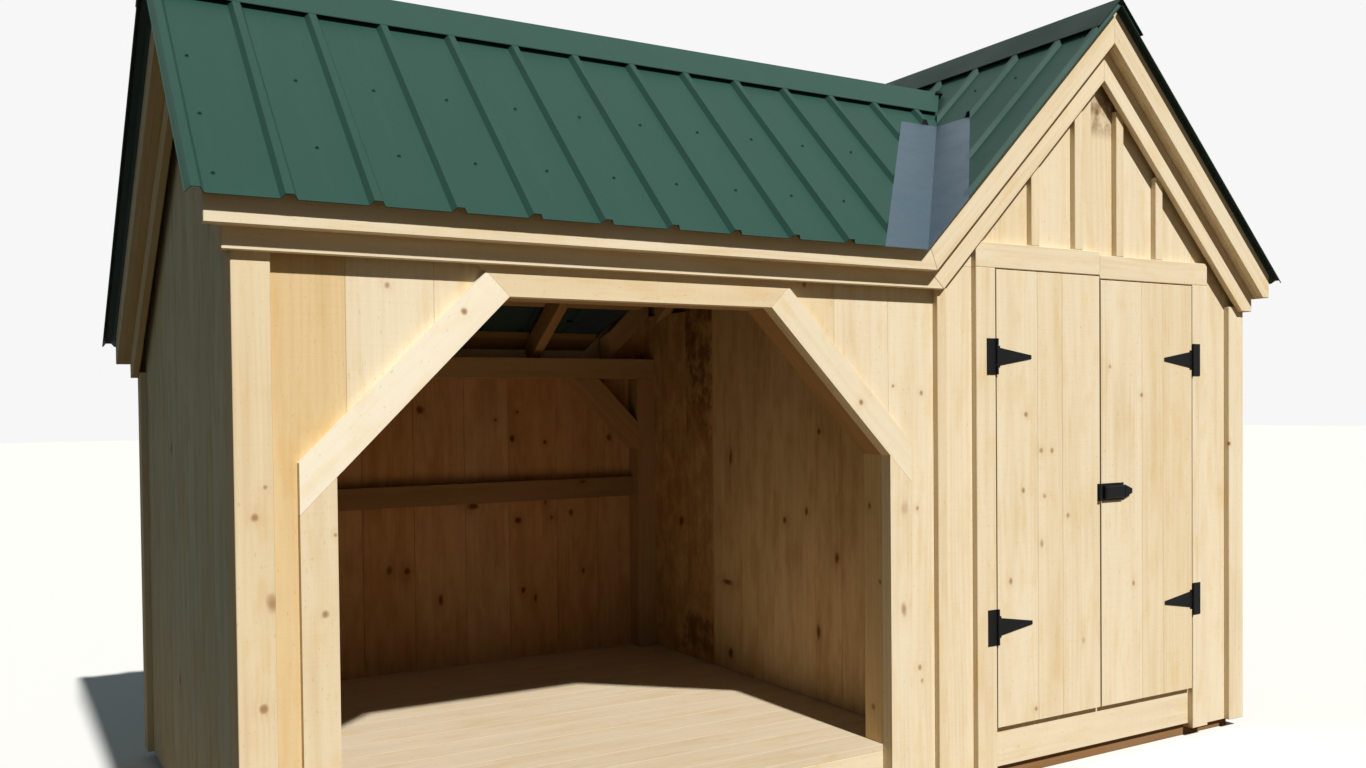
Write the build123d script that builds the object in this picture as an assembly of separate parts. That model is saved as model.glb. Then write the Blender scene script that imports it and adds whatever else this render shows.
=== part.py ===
from build123d import *
import math
import os

os.makedirs("parts", exist_ok=True)

# Log store and tool shed under one roof, in millimetres.
# The front faces -Y, the log bay is on the left, the tool shed on the right.
# Measured sizes run from the left front ground corner of the trimmed walls,
# and save() moves every piece so that the origin is the middle of the footprint.

# Footprint, over the corner boards
length = 4267.0
depth = 2200.0

# Timber sections, rough sawn
board = 25.0
timber = 100.0
stud = 50.0
casing = 100.0

# Hairline joint between boards that meet end to end
joint = 0.6

# Reach of the cutting shapes beyond the building
far = 500.0

# Base
floor_top = 225.0
skid_height = 100.0
siding_bottom = 40.0
apron_bottom = 57.0
joist_spacing = 406.4

# Partition between bay and shed, face on the bay side
shed_width = 1857.0
partition_x = length - shed_width

# Log bay opening
bay_left = 266.0
bay_right_margin = 188.0
bay_right = partition_x - bay_right_margin
bay_head = floor_top + 1560.0
bay_corner_cut = 510.0

# Shed gable and its pair of doors
gable_inset = 937.0
gable_x = length - gable_inset
door_half_width = 585.0
door_head = floor_top + 1745.0
door_bottom = floor_top - 9.0
door_header_height = 95.0
header_step = 14.0
header_round = 18.0
door_gap = 5.0
door_meeting_gap = 8.0
ledge_thickness = 22.0
ledge_width = 110.0
batten_spacing = 245.0
batten_width = 44.0

# Roof planes, taken at the underside of the metal
eave_height = floor_top + 1709.0
rear_eave = floor_top + 1434.0
right_eave = floor_top + 1685.0
ridge_y = 700.0
trim_width = 100.0
outer_trim_face = 75.0
metal_overhang = 35.0
inner_drop = 59.0
inner_rake_reveal = 96.0
inner_rake_lap = 50.0
purlin_thickness = 25.0
purlin_width = 100.0
rafter_width = 50.0
rafter_depth = 100.0
rafter_spacing = 457.0
main_rafter_spacing = 610.0
main_rafter_first = 564.0
partition_rafter_gap = 35.0

# Metal roofing
sheet = 2.0
rib_height = 19.0
rib_base = 44.0
rib_top = 20.0
rib_spacing = 228.6
main_rib_first = 127.9
shed_rib_first = 103.0
cap_width = 180.0
edge_foot = 3.0
valley_width = 195.0
valley_drop = 180.0

# Hinges and latch
hinge_low = floor_top + 378.0
hinge_high = floor_top + 1409.0
hinge_plate = 3.0
butt_height = 137.0
butt_width = 50.0
strap_length = 180.0
strap_root = 70.0
strap_tip = 14.0
knuckle_radius = 5.0
pin_radius = 2.5
pin_clearance = 0.05
latch_height = floor_top + 866.0
latch_plate = 4.0
latch_plate_length = 128.0
latch_plate_width = 70.0
latch_case_depth = 24.0
latch_case_inset = 9.0
latch_case_chamfer = 6.0
latch_nose_length = 42.0
latch_nose_depth = 14.0
keeper_width = 15.0
latch_margin = 2.0

# Derived lines
siding_face = board
frame_face = 2 * board
rear_frame = depth - 2 * board
right_frame = length - 2 * board
left_frame = 2 * board
outer_trim_back = outer_trim_face - board
front_base = eave_height + trim_width + outer_trim_face
ridge_z = front_base + ridge_y
rear_pitch = (ridge_z - rear_eave - trim_width) / (depth + outer_trim_face - ridge_y)
gable_peak = right_eave + trim_width + length + outer_trim_face - gable_x
valley_top = ridge_z - valley_drop
above_roof = gable_peak + far
rear_reach = math.cos(math.atan(rear_pitch))
steep_reach = math.cos(math.radians(45.0))
metal_edge = outer_trim_face + metal_overhang
left_edge = metal_edge + rib_height * steep_reach
rear_edge = left_edge - rib_height * rear_pitch * rear_reach
inner_eave = eave_height - inner_drop
door_left = gable_x - door_half_width
door_right = gable_x + door_half_width


def front_roof(y):
    return front_base + y


def rear_roof(y):
    return ridge_z - rear_pitch * (y - ridge_y)


def shed_roof(x):
    return gable_peak - abs(x - gable_x)


def valley_front(y):
    return gable_x - (gable_peak - front_roof(y))


def valley_rear(y):
    return gable_x - (gable_peak - rear_roof(y))


rear_eave_top = rear_eave + trim_width
right_eave_top = right_eave + trim_width


def box(x0, x1, y0, y1, z0, z1):
    middle = ((x0 + x1) / 2, (y0 + y1) / 2, (z0 + z1) / 2)
    return Pos(*middle) * Box(x1 - x0, y1 - y0, z1 - z0)


def along_x(points, x0, x1):
    face = Plane.YZ.offset(x0) * Polygon(*points, align=None)
    return extrude(face, amount=x1 - x0, dir=(1, 0, 0))


def along_y(points, y0, y1):
    face = Plane.XZ.offset(-y0) * Polygon(*points, align=None)
    return extrude(face, amount=y1 - y0, dir=(0, 1, 0))


def along_z(points, z0, z1):
    face = Plane.XY.offset(z0) * Polygon(*points, align=None)
    return extrude(face, amount=z1 - z0, dir=(0, 0, 1))


def mirrored(shape, x):
    return mirror(shape, about=Plane(origin=(x, 0, 0), z_dir=(1, 0, 0)))


def solids_of(items):
    found = []
    for item in items:
        found.extend(item.solids())
    return found


def saw_line(first, last):
    run = math.dist(first, last)
    step = ((last[0] - first[0]) / run, (last[1] - first[1]) / run)
    side = (-step[1] * joint / 2, step[0] * joint / 2)
    start = (first[0] - 20 * step[0], first[1] - 20 * step[1])
    end = (last[0] + 20 * step[0], last[1] + 20 * step[1])
    return [
        (start[0] - side[0], start[1] - side[1]),
        (end[0] - side[0], end[1] - side[1]),
        (end[0] + side[0], end[1] + side[1]),
        (start[0] + side[0], start[1] + side[1]),
    ]


def cut_xz(shape, first, last):
    return shape - along_y(saw_line(first, last), -far, depth + far)


def cut_yz(shape, first, last):
    return shape - along_x(saw_line(first, last), -far, length + far)


def save(name, items):
    pieces = solids_of(items)
    moved = [Pos(-length / 2, -depth / 2, 0) * piece for piece in pieces]
    shape = moved[0] if len(moved) == 1 else Compound(children=moved)
    export_step(shape, "parts/" + name + ".step")


def fused(items):
    whole = items[0]
    for item in items[1:]:
        whole = whole + item
    return whole


# Base of skids, joists and floor
skid_rows = (frame_face, (depth - timber) / 2, rear_frame - timber)
save("skids", [box(left_frame, right_frame, y, y + timber, 0, skid_height) for y in skid_rows])

joist_top = floor_top - board
joist_front = frame_face + stud + joint
joist_rear = rear_frame - stud - joint
joist_places = [left_frame]
while joist_places[-1] + joist_spacing < right_frame - 2 * stud:
    joist_places.append(joist_places[-1] + joist_spacing)
joist_places.append(right_frame - stud)
save("floor_frame", [
    box(left_frame, right_frame, frame_face, frame_face + stud, skid_height, joist_top),
    box(left_frame, right_frame, rear_frame - stud, rear_frame, skid_height, joist_top),
] + [box(x, x + stud, joist_front, joist_rear, skid_height, joist_top) for x in joist_places])

save("floor_boards", [box(left_frame, right_frame, frame_face, rear_frame, joist_top, floor_top)])


# Posts, plates, girts and braces
def seat_under(x):
    return shed_roof(x) - (purlin_thickness + rafter_depth) / steep_reach


seat = 17.0
shed_left_post = partition_x + board
left_plate_top = seat_under(shed_left_post) + seat
right_plate_top = seat_under(right_frame) + seat
beam_top = front_roof(frame_face) - (purlin_thickness + rafter_depth) / steep_reach + seat
rear_plate_top = rear_roof(rear_frame) - (purlin_thickness + rafter_depth) / rear_reach + 8.0
rear_post_top = rear_plate_top - timber
back_y = rear_frame - timber


def post(x, y, top):
    return box(x, x + timber, y, y + timber, floor_top, top)


save("posts", [
    post(left_frame, frame_face, bay_head),
    post(bay_left - timber, frame_face, bay_head),
    post(bay_right, frame_face, bay_head),
    post(shed_left_post, frame_face, left_plate_top - timber),
    post(door_left - timber, frame_face, door_head),
    post(door_right, frame_face, door_head),
    post(right_frame - timber, frame_face, right_plate_top - timber),
    post(left_frame, back_y, rear_post_top),
    post(partition_x - timber, back_y, rear_post_top),
    post(shed_left_post, back_y, left_plate_top - timber),
    post(right_frame - timber, back_y, right_plate_top - timber),
])

bay_beam = box(left_frame, shed_left_post - joint, frame_face, frame_face + timber, bay_head, beam_top)
rear_plate = box(left_frame, partition_x, back_y, rear_frame, rear_post_top, rear_plate_top)
left_plate = box(shed_left_post, shed_left_post + timber, frame_face, rear_frame,
                 left_plate_top - timber, left_plate_top)
right_plate = box(right_frame - timber, right_frame, frame_face, rear_frame,
                  right_plate_top - timber, right_plate_top)
door_beam = box(door_left - timber, door_right + timber, frame_face, frame_face + timber,
                door_head, door_head + timber)
save("beams_and_plates", [bay_beam, rear_plate, left_plate, right_plate, door_beam])

girt_bottom = floor_top + 775.0
girt_top = girt_bottom + timber


def girt_x(x0, x1):
    return box(x0, x1, rear_frame - stud, rear_frame, girt_bottom, girt_top)


def girt_y(x):
    return box(x, x + stud, frame_face + timber, back_y, girt_bottom, girt_top)


save("girts", [
    girt_x(left_frame + timber, partition_x - timber),
    girt_x(shed_left_post + timber, right_frame - timber),
    girt_y(left_frame),
    girt_y(shed_left_post),
    girt_y(right_frame - stud),
])

brace_rise = timber / steep_reach
corner_cut_bottom = bay_head - bay_corner_cut
front_brace = along_y([
    (bay_left, corner_cut_bottom),
    (bay_left + bay_corner_cut, bay_head),
    (bay_left + bay_corner_cut - brace_rise, bay_head),
    (bay_left, corner_cut_bottom + brace_rise),
], frame_face, frame_face + timber)
rear_brace_run = 360.0
rear_brace_x = partition_x - timber
rear_brace = along_y([
    (rear_brace_x, rear_post_top - rear_brace_run),
    (rear_brace_x - rear_brace_run, rear_post_top),
    (rear_brace_x - rear_brace_run + brace_rise, rear_post_top),
    (rear_brace_x, rear_post_top - rear_brace_run + brace_rise),
], back_y, rear_frame)
bay_middle = (bay_left + bay_right) / 2
rear_bay_middle = (left_frame + partition_x) / 2
save("knee_braces", [
    front_brace,
    mirrored(front_brace, bay_middle),
    rear_brace,
    mirrored(rear_brace, rear_bay_middle),
])

# Vertical board siding
shed_seam = gable_x - 3.5 * batten_spacing
front_siding_top = front_roof(siding_face) - (purlin_thickness + rafter_depth) / steep_reach - 2.0
bay_wall = along_y([
    (siding_face, siding_bottom),
    (bay_left, siding_bottom),
    (bay_left, corner_cut_bottom),
    (bay_left + bay_corner_cut, bay_head),
    (bay_right - bay_corner_cut, bay_head),
    (bay_right, corner_cut_bottom),
    (bay_right, siding_bottom),
    (shed_seam - joint, siding_bottom),
    (shed_seam - joint, front_siding_top),
    (siding_face, front_siding_top),
], siding_face, frame_face)
for seam in (bay_left, bay_left + bay_corner_cut, bay_right - bay_corner_cut, bay_right):
    bay_wall = cut_xz(bay_wall, (seam, siding_bottom), (seam, front_siding_top))
save("front_bay_wall", [bay_wall])

steep_purlin = purlin_thickness / steep_reach
rear_purlin = purlin_thickness / rear_reach
right_siding_face = length - siding_face
save("front_shed_wall", [
    box(shed_seam, door_left, siding_face, frame_face, siding_bottom, door_head - joint),
    box(door_right, right_siding_face, siding_face, frame_face, siding_bottom, door_head - joint),
    along_y([
        (shed_seam, door_head),
        (right_siding_face, door_head),
        (right_siding_face, shed_roof(right_siding_face) - steep_purlin),
        (gable_x, gable_peak - steep_purlin),
        (shed_seam, shed_roof(shed_seam) - steep_purlin),
    ], siding_face, frame_face),
])

left_wall = along_x([
    (frame_face, siding_bottom),
    (rear_frame, siding_bottom),
    (rear_frame, rear_roof(rear_frame) - rear_purlin),
    (ridge_y, ridge_z - steep_purlin),
    (frame_face, front_roof(frame_face) - steep_purlin),
], siding_face, left_frame)
save("left_wall", [left_wall])

rear_siding_top = rear_roof(depth - siding_face) - (purlin_thickness + rafter_depth) / rear_reach - 2.0
rear_step = valley_rear(rear_frame) + 12.0
rear_wall = along_y([
    (siding_face, siding_bottom),
    (right_siding_face, siding_bottom),
    (right_siding_face, shed_roof(right_siding_face) - steep_purlin),
    (gable_x, gable_peak - steep_purlin),
    (rear_step, shed_roof(rear_step) - steep_purlin),
    (rear_step, rear_siding_top),
    (siding_face, rear_siding_top),
], rear_frame, depth - siding_face)
save("rear_wall", [
    cut_xz(rear_wall, (rear_step, siding_bottom), (rear_step, shed_roof(rear_step))),
])

right_siding_top = seat_under(right_siding_face) - 2.0
save("right_wall", [
    box(right_frame, right_siding_face, frame_face, rear_frame, siding_bottom, right_siding_top),
])

partition_rear_top = seat_under(partition_x) - 2.0
partition_turn = ridge_y + (ridge_z - shed_roof(partition_x + board)) / rear_pitch
ridge_board_low = ridge_z - (purlin_thickness + rafter_depth) / steep_reach
notch_front = ridge_y - board / 2
notch_rear = ridge_y + board / 2
save("partition_wall", [along_x([
    (frame_face + timber, floor_top),
    (rear_frame, floor_top),
    (rear_frame, partition_rear_top),
    (partition_turn, partition_rear_top),
    (partition_turn, rear_roof(partition_turn) - rear_purlin),
    (notch_rear, rear_roof(notch_rear) - rear_purlin),
    (notch_rear, ridge_board_low),
    (notch_front, ridge_board_low),
    (notch_front, front_roof(notch_front) - steep_purlin),
    (frame_face + timber, front_roof(frame_face + timber) - steep_purlin),
], partition_x, partition_x + board)])


# Corner boards, one angled pair at each corner
def corner(x_front, x_side, front_side, top):
    if front_side:
        return fused([
            box(*sorted((x_front, x_side)), 0, board, siding_bottom, top),
            box(*sorted((x_front, x_front + board if x_front < length / 2 else x_front - board)),
                0, casing, siding_bottom, top),
        ])
    return fused([
        box(*sorted((x_front, x_side)), depth - board, depth, siding_bottom, top),
        box(*sorted((x_front, x_front + board if x_front < length / 2 else x_front - board)),
            depth - casing, depth, siding_bottom, top),
    ])


right_corner_top = right_eave - inner_drop + 20.0
save("corner_boards", [
    corner(0, casing, True, inner_eave + 20.0),
    corner(length, length - casing, True, right_corner_top),
    corner(0, casing, False, rear_eave - inner_drop + 20.0),
    corner(length, length - casing, False, right_corner_top),
])

# Casings round the bay opening
header_casing_top = bay_head + casing
casing_rise = casing / steep_reach
brace_end = casing * steep_reach
bay_casings = along_y([
    (bay_left, siding_bottom),
    (bay_left, corner_cut_bottom),
    (bay_left + bay_corner_cut, bay_head),
    (bay_right - bay_corner_cut, bay_head),
    (bay_right, corner_cut_bottom),
    (bay_right, siding_bottom),
    (bay_right + casing, siding_bottom),
    (bay_right + casing, corner_cut_bottom - casing + casing_rise),
    (bay_right - bay_corner_cut + brace_end, bay_head + brace_end),
    (bay_right - bay_corner_cut + casing, header_casing_top),
    (bay_left + bay_corner_cut - casing, header_casing_top),
    (bay_left + bay_corner_cut - brace_end, bay_head + brace_end),
    (bay_left - casing, corner_cut_bottom - casing + casing_rise),
    (bay_left - casing, siding_bottom),
], 0, board)
left_cuts = (
    ((bay_left + bay_corner_cut, bay_head), (bay_left + bay_corner_cut - casing, header_casing_top)),
    ((bay_left, corner_cut_bottom), (bay_left - casing, corner_cut_bottom - casing)),
)
for first, last in left_cuts:
    bay_casings = cut_xz(bay_casings, first, last)
    bay_casings = cut_xz(bay_casings, (bay_left + bay_right - first[0], first[1]),
                         (bay_left + bay_right - last[0], last[1]))
save("bay_casings", [bay_casings])

# Casings round the doors, apron under them, battens on the shed front
header_top = door_head + door_header_height
right_header = box(gable_x, door_right + casing, 0, board, door_head - header_step, header_top - header_step)
worn_corner = right_header.edges().filter_by(Axis.Y).sort_by(lambda edge: edge.center().X + edge.center().Z)[-1]
save("door_casings", [
    box(door_left - casing, door_left, 0, board, siding_bottom, door_head - joint),
    box(door_right, door_right + casing, 0, board, siding_bottom, door_head - header_step - joint),
    box(door_left - casing, gable_x - joint, 0, board, door_head, header_top),
    fillet(worn_corner, header_round),
])
save("door_apron", [
    box(door_left, door_right, siding_face, frame_face, apron_bottom, door_bottom - 6.0),
])


def batten(seam, bottom, top):
    return box(seam - batten_width / 2, seam + batten_width / 2, 0, board, bottom, top)


inner_rake_bottom = (trim_width + inner_rake_reveal) / steep_reach
battens = [batten(shed_seam, siding_bottom, shed_roof(shed_seam) - inner_rake_bottom + 40.0)]
for step in (-1.5, -0.5, 0.5, 1.5):
    seam = gable_x + step * batten_spacing
    lower_edge = shed_roof(gable_x + (abs(step) * batten_spacing + batten_width / 2))
    foot = header_top if step < 0 else header_top - header_step
    battens.append(batten(seam, foot, lower_edge - inner_rake_bottom + 40.0))
save("gable_battens", battens)


# Two stepped rows of trim boards round the roof edge
def trim_outline(left_x, right_x, low_left, top_left, low_right, drop, rise):
    low_rake = gable_peak - drop
    top_rake = gable_peak - rise
    corner_x = gable_x + (low_rake - low_right)
    level_end = [(corner_x, low_right), (right_x, low_right)]
    if corner_x >= right_x:
        level_end = [(right_x, shed_roof(right_x) - drop)]
    return [
        (left_x, low_left),
        (gable_x - (low_rake - low_left), low_left),
        (gable_x, low_rake),
        *level_end,
        (right_x, shed_roof(right_x) - rise),
        (gable_x, top_rake),
        (gable_x - (top_rake - top_left), top_left),
        (left_x, top_left),
    ]


rake_drop = trim_width / steep_reach
rake_lap = inner_rake_lap / steep_reach
inner_lap_top = inner_eave + trim_width
rear_inner_eave = rear_eave - inner_drop
right_inner_eave = right_eave - inner_drop


def mitred(shape, low_left, top_left, drop, rise):
    low_corner = (gable_x - (gable_peak - drop - low_left), low_left)
    top_corner = (gable_x - (gable_peak - rise - top_left), top_left)
    shape = cut_xz(shape, low_corner, top_corner)
    return cut_xz(shape, (gable_x, gable_peak - drop), (gable_x, gable_peak - rise))


front_outer = along_y(trim_outline(
    -outer_trim_face, length + outer_trim_face, eave_height, eave_height + trim_width,
    right_eave, rake_drop, 0.0), -outer_trim_face, -outer_trim_back)
save("front_trim_outer", [
    mitred(front_outer, eave_height, eave_height + trim_width, rake_drop, 0.0),
])
front_inner = along_y(trim_outline(
    -board, length + board, inner_eave, inner_lap_top,
    right_inner_eave, inner_rake_bottom, rake_lap), -board, 0)
save("front_trim_inner", [
    mitred(front_inner, inner_eave, inner_lap_top, inner_rake_bottom, rake_lap),
])
rear_outer = along_y(trim_outline(
    -outer_trim_face, length + outer_trim_face, rear_eave, rear_eave_top,
    right_eave, rake_drop, 0.0), depth + outer_trim_back, depth + outer_trim_face)
save("rear_trim_outer", [
    mitred(rear_outer, rear_eave, rear_eave_top, rake_drop, 0.0),
])
rear_inner = along_y(trim_outline(
    -board, length + board, rear_inner_eave, rear_inner_eave + trim_width,
    right_inner_eave, inner_rake_bottom, rake_lap), depth, depth + board)
save("rear_trim_inner", [
    mitred(rear_inner, rear_inner_eave, rear_inner_eave + trim_width, inner_rake_bottom, rake_lap),
])


def rake_outline(y0, y1, low_front, low_rear, drop, rise):
    front_drop = drop / steep_reach
    rear_drop = drop / rear_reach
    front_rise = rise / steep_reach
    rear_rise = rise / rear_reach
    peak_low = (front_drop + rear_drop) / 2
    peak_y_low = ridge_y + (front_drop - rear_drop) / (1 + rear_pitch)
    peak_y_top = ridge_y + (front_rise - rear_rise) / (1 + rear_pitch)
    front_corner = low_front + front_drop - front_base
    rear_corner = ridge_y + (ridge_z - rear_drop - low_rear) / rear_pitch
    front_foot = [(y0, low_front), (front_corner, low_front)]
    if front_corner <= y0:
        front_foot = [(y0, front_roof(y0) - front_drop)]
    rear_foot = [(rear_corner, low_rear), (y1, low_rear)]
    if rear_corner >= y1:
        rear_foot = [(y1, rear_roof(y1) - rear_drop)]
    return [
        *front_foot,
        (peak_y_low, front_roof(peak_y_low) - front_drop),
        *rear_foot,
        (y1, rear_roof(y1) - rear_rise),
        (peak_y_top, front_roof(peak_y_top) - front_rise),
        (y0, front_roof(y0) - front_rise),
    ]


def ridge_mitred(shape, drop, rise):
    low = ridge_y + (drop / steep_reach - drop / rear_reach) / (1 + rear_pitch)
    top = ridge_y + (rise / steep_reach - rise / rear_reach) / (1 + rear_pitch)
    return cut_yz(shape, (low, front_roof(low) - drop / steep_reach),
                  (top, front_roof(top) - rise / steep_reach))


left_outer = along_x(rake_outline(
    -outer_trim_back, depth + outer_trim_back, eave_height, rear_eave, trim_width, 0.0),
    -outer_trim_face, -outer_trim_back)
right_outer = along_x([
    (-outer_trim_back, right_eave),
    (depth + outer_trim_back, right_eave),
    (depth + outer_trim_back, right_eave_top),
    (-outer_trim_back, right_eave_top),
], length + outer_trim_back, length + outer_trim_face)
save("side_trim_outer", [ridge_mitred(left_outer, trim_width, 0.0), right_outer])
left_inner = along_x(rake_outline(
    0, depth, inner_eave, rear_inner_eave, trim_width + inner_rake_reveal, inner_rake_lap),
    -board, 0)
right_inner = along_x([
    (0, right_inner_eave),
    (depth, right_inner_eave),
    (depth, right_inner_eave + trim_width),
    (0, right_inner_eave + trim_width),
], length, length + board)
save("side_trim_inner", [
    ridge_mitred(left_inner, trim_width + inner_rake_reveal, inner_rake_lap),
    right_inner,
])

# Blocking behind the outer trim
block_top_front = front_roof(-outer_trim_back) - steep_purlin
block_top_rear = rear_roof(depth + outer_trim_back) - rear_purlin
block_top_right = shed_roof(length + outer_trim_back) - steep_purlin


def blocking_band(left_low, left_top, right_low, drop, y0, y1):
    return along_y(trim_outline(
        -outer_trim_back, length + outer_trim_back, left_low, left_top,
        right_low, drop, steep_purlin), y0, y1)


front_block = fused([
    blocking_band(eave_height, block_top_front, right_eave, rake_drop, -outer_trim_back, -board),
    along_y(trim_outline(0, length, inner_lap_top, block_top_front,
                         right_inner_eave + trim_width, rake_lap, steep_purlin), -board, 0),
])
rear_block = fused([
    blocking_band(rear_eave, block_top_rear, right_eave, rake_drop,
                  depth + board, depth + outer_trim_back),
    along_y(trim_outline(0, length, rear_inner_eave + trim_width, block_top_rear,
                         right_inner_eave + trim_width, rake_lap, steep_purlin),
            depth, depth + board),
])
left_block = fused([
    along_x(rake_outline(-board, depth + board, eave_height, rear_eave, trim_width,
                         purlin_thickness), -outer_trim_back, -board),
    along_x(rake_outline(0, depth, inner_lap_top, rear_inner_eave + trim_width,
                         inner_rake_lap, purlin_thickness), -board, 0),
])
right_block = fused([
    box(length + board, length + outer_trim_back, -board, depth + board,
        right_eave, block_top_right),
    box(length, length + board, 0, depth, right_inner_eave + trim_width, block_top_right),
])
front_turn = gable_x - (gable_peak - steep_purlin - block_top_front)
rear_turn = gable_x - (gable_peak - steep_purlin - block_top_rear)
roof_edge_blocking = [right_block]
for piece, turn in ((front_block, front_turn), (rear_block, rear_turn)):
    piece = cut_xz(piece, (turn, rear_eave), (turn, gable_peak))
    roof_edge_blocking.append(cut_xz(piece, (gable_x, eave_height), (gable_x, gable_peak)))
roof_edge_blocking.append(cut_yz(left_block, (ridge_y, rear_eave), (ridge_y, ridge_z)))


# Roof framing
def over_main(keep_low, keep_high):
    edge = [
        (-far, -far),
        (valley_front(-far), -far),
        (valley_front(ridge_y), ridge_y),
        (valley_rear(depth + far), depth + far),
        (-far, depth + far),
    ]
    return along_z(edge, keep_low, keep_high)


def over_shed(keep_low, keep_high):
    edge = [
        (valley_front(-far), -far),
        (length + far, -far),
        (length + far, depth + far),
        (valley_rear(depth + far), depth + far),
        (valley_front(ridge_y), ridge_y),
    ]
    return along_z(edge, keep_low, keep_high)


main_zone = over_main(floor_top, above_roof)
shed_zone = over_shed(floor_top, above_roof)
shed_reach = valley_rear(depth + far)
ridge_board = board
ridge_half = ridge_board / 2


def band_front(y0, y1, high, low):
    return [
        (y0, front_roof(y0) - low / steep_reach),
        (y1, front_roof(y1) - low / steep_reach),
        (y1, front_roof(y1) - high / steep_reach),
        (y0, front_roof(y0) - high / steep_reach),
    ]


def band_rear(y0, y1, high, low):
    return [
        (y0, rear_roof(y0) - low / rear_reach),
        (y1, rear_roof(y1) - low / rear_reach),
        (y1, rear_roof(y1) - high / rear_reach),
        (y0, rear_roof(y0) - high / rear_reach),
    ]


rafter_low = purlin_thickness + rafter_depth
main_ridge_end = valley_front(ridge_y)
main_rafters = []
rafter_middles = [left_frame + rafter_width / 2]
next_middle = main_rafter_first
partition_rafter = partition_x - partition_rafter_gap - rafter_width / 2
while next_middle < partition_rafter - main_rafter_spacing / 2:
    rafter_middles.append(next_middle)
    next_middle += main_rafter_spacing
rafter_middles.append(partition_rafter)
rafter_middles.append((partition_x + main_ridge_end) / 2)
partition_body = box(partition_x - 1, partition_x + board + 1, 0, depth, 0, above_roof)
for middle in rafter_middles:
    x0 = middle - rafter_width / 2
    x1 = middle + rafter_width / 2
    front_piece = along_x(band_front(0, ridge_y - ridge_half, purlin_thickness, rafter_low), x0, x1)
    rear_piece = along_x(band_rear(ridge_y + ridge_half, depth, purlin_thickness, rafter_low), x0, x1)
    for piece in (front_piece, rear_piece):
        cut = piece & main_zone
        cut = cut - bay_beam - rear_plate - left_plate
        main_rafters.extend(cut.solids())
save("main_rafters", main_rafters)

main_ridge_board = box(left_frame, main_ridge_end, ridge_y - ridge_half, ridge_y + ridge_half,
                       ridge_board_low,
                       ridge_z - purlin_thickness / steep_reach - ridge_half)
shed_ridge_board = box(gable_x - ridge_half, gable_x + ridge_half, frame_face, rear_frame,
                       gable_peak - rafter_low / steep_reach,
                       gable_peak - purlin_thickness / steep_reach - ridge_half)


def shed_band(x0, x1, high, low):
    return [
        (x0, shed_roof(x0) - low / steep_reach),
        (x1, shed_roof(x1) - low / steep_reach),
        (x1, shed_roof(x1) - high / steep_reach),
        (x0, shed_roof(x0) - high / steep_reach),
    ]


shed_rafters = []
shed_rafter_rows = [frame_face]
while shed_rafter_rows[-1] + 2 * rafter_spacing < rear_frame - rafter_width:
    shed_rafter_rows.append(shed_rafter_rows[-1] + rafter_spacing)
shed_rafter_rows.append(rear_frame - rafter_width)
for y0 in shed_rafter_rows:
    y1 = y0 + rafter_width
    left_piece = along_y(shed_band(shed_reach, gable_x - ridge_half,
                                   purlin_thickness, rafter_low), y0, y1)
    right_piece = along_y(shed_band(gable_x + ridge_half, length, purlin_thickness, rafter_low), y0, y1)
    left_piece = (left_piece & shed_zone) - left_plate - rear_plate - partition_body
    right_piece = right_piece - right_plate
    shed_rafters.extend(left_piece.solids())
    shed_rafters.extend(right_piece.solids())
save("shed_rafters", shed_rafters)
save("ridge_boards", [main_ridge_board, shed_ridge_board])


def spread(first, last, count):
    return [first + (last - first) * step / (count - 1) for step in range(count)]


steep_run = purlin_width * steep_reach
shallow_run = purlin_width * rear_reach
main_purlins = []
for y in spread(-outer_trim_back, ridge_y - ridge_half - steep_run - 12.0, 4):
    strip = along_x(band_front(y, y + steep_run, 0, purlin_thickness), -outer_trim_back, length)
    main_purlins.extend((strip & main_zone).solids())
for y in spread(ridge_y + ridge_half + 12.0, depth + outer_trim_back - shallow_run, 6):
    strip = along_x(band_rear(y, y + shallow_run, 0, purlin_thickness), -outer_trim_back, length)
    main_purlins.extend((strip & main_zone).solids())
save("main_purlins", main_purlins)

shed_purlins = []
for offset in spread(ridge_half + 12.0, length + outer_trim_back - gable_x - steep_run, 4):
    right_strip = along_y(shed_band(gable_x + offset, gable_x + offset + steep_run, 0,
                                    purlin_thickness), -outer_trim_back, depth + outer_trim_back)
    left_strip = along_y(shed_band(gable_x - offset - steep_run, gable_x - offset, 0,
                                   purlin_thickness), -outer_trim_back, depth + outer_trim_back)
    shed_purlins.extend(right_strip.solids())
    shed_purlins.extend((left_strip & shed_zone).solids())
save("shed_purlins", shed_purlins)
save("roof_edge_blocking", roof_edge_blocking)


# Ribbed metal roofing
def ribbed_profile(start, end, ribs):
    lower = [(start, 0.0)]
    upper = [(start, sheet)]
    for middle in ribs:
        lower.extend([
            (middle - rib_base / 2 + sheet / 2, 0.0),
            (middle - rib_top / 2, rib_height - sheet),
            (middle + rib_top / 2, rib_height - sheet),
            (middle + rib_base / 2 - sheet / 2, 0.0),
        ])
        upper.extend([
            (middle - rib_base / 2, sheet),
            (middle - rib_top / 2 - sheet / 2, rib_height),
            (middle + rib_top / 2 + sheet / 2, rib_height),
            (middle + rib_base / 2, sheet),
        ])
    lower.append((end, 0.0))
    upper.append((end, sheet))
    return lower + upper[::-1]


def rib_rows(first, start, end):
    rows = []
    middle = first
    while middle - rib_spacing - rib_base > start:
        middle -= rib_spacing
    while middle + rib_base < end:
        rows.append(middle)
        middle += rib_spacing
    return rows


def sheet_on(plane, start, end, ribs, run):
    face = plane * Polygon(*ribbed_profile(start, end, ribs), align=None)
    return extrude(face, amount=run, dir=-plane.z_dir)


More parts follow.
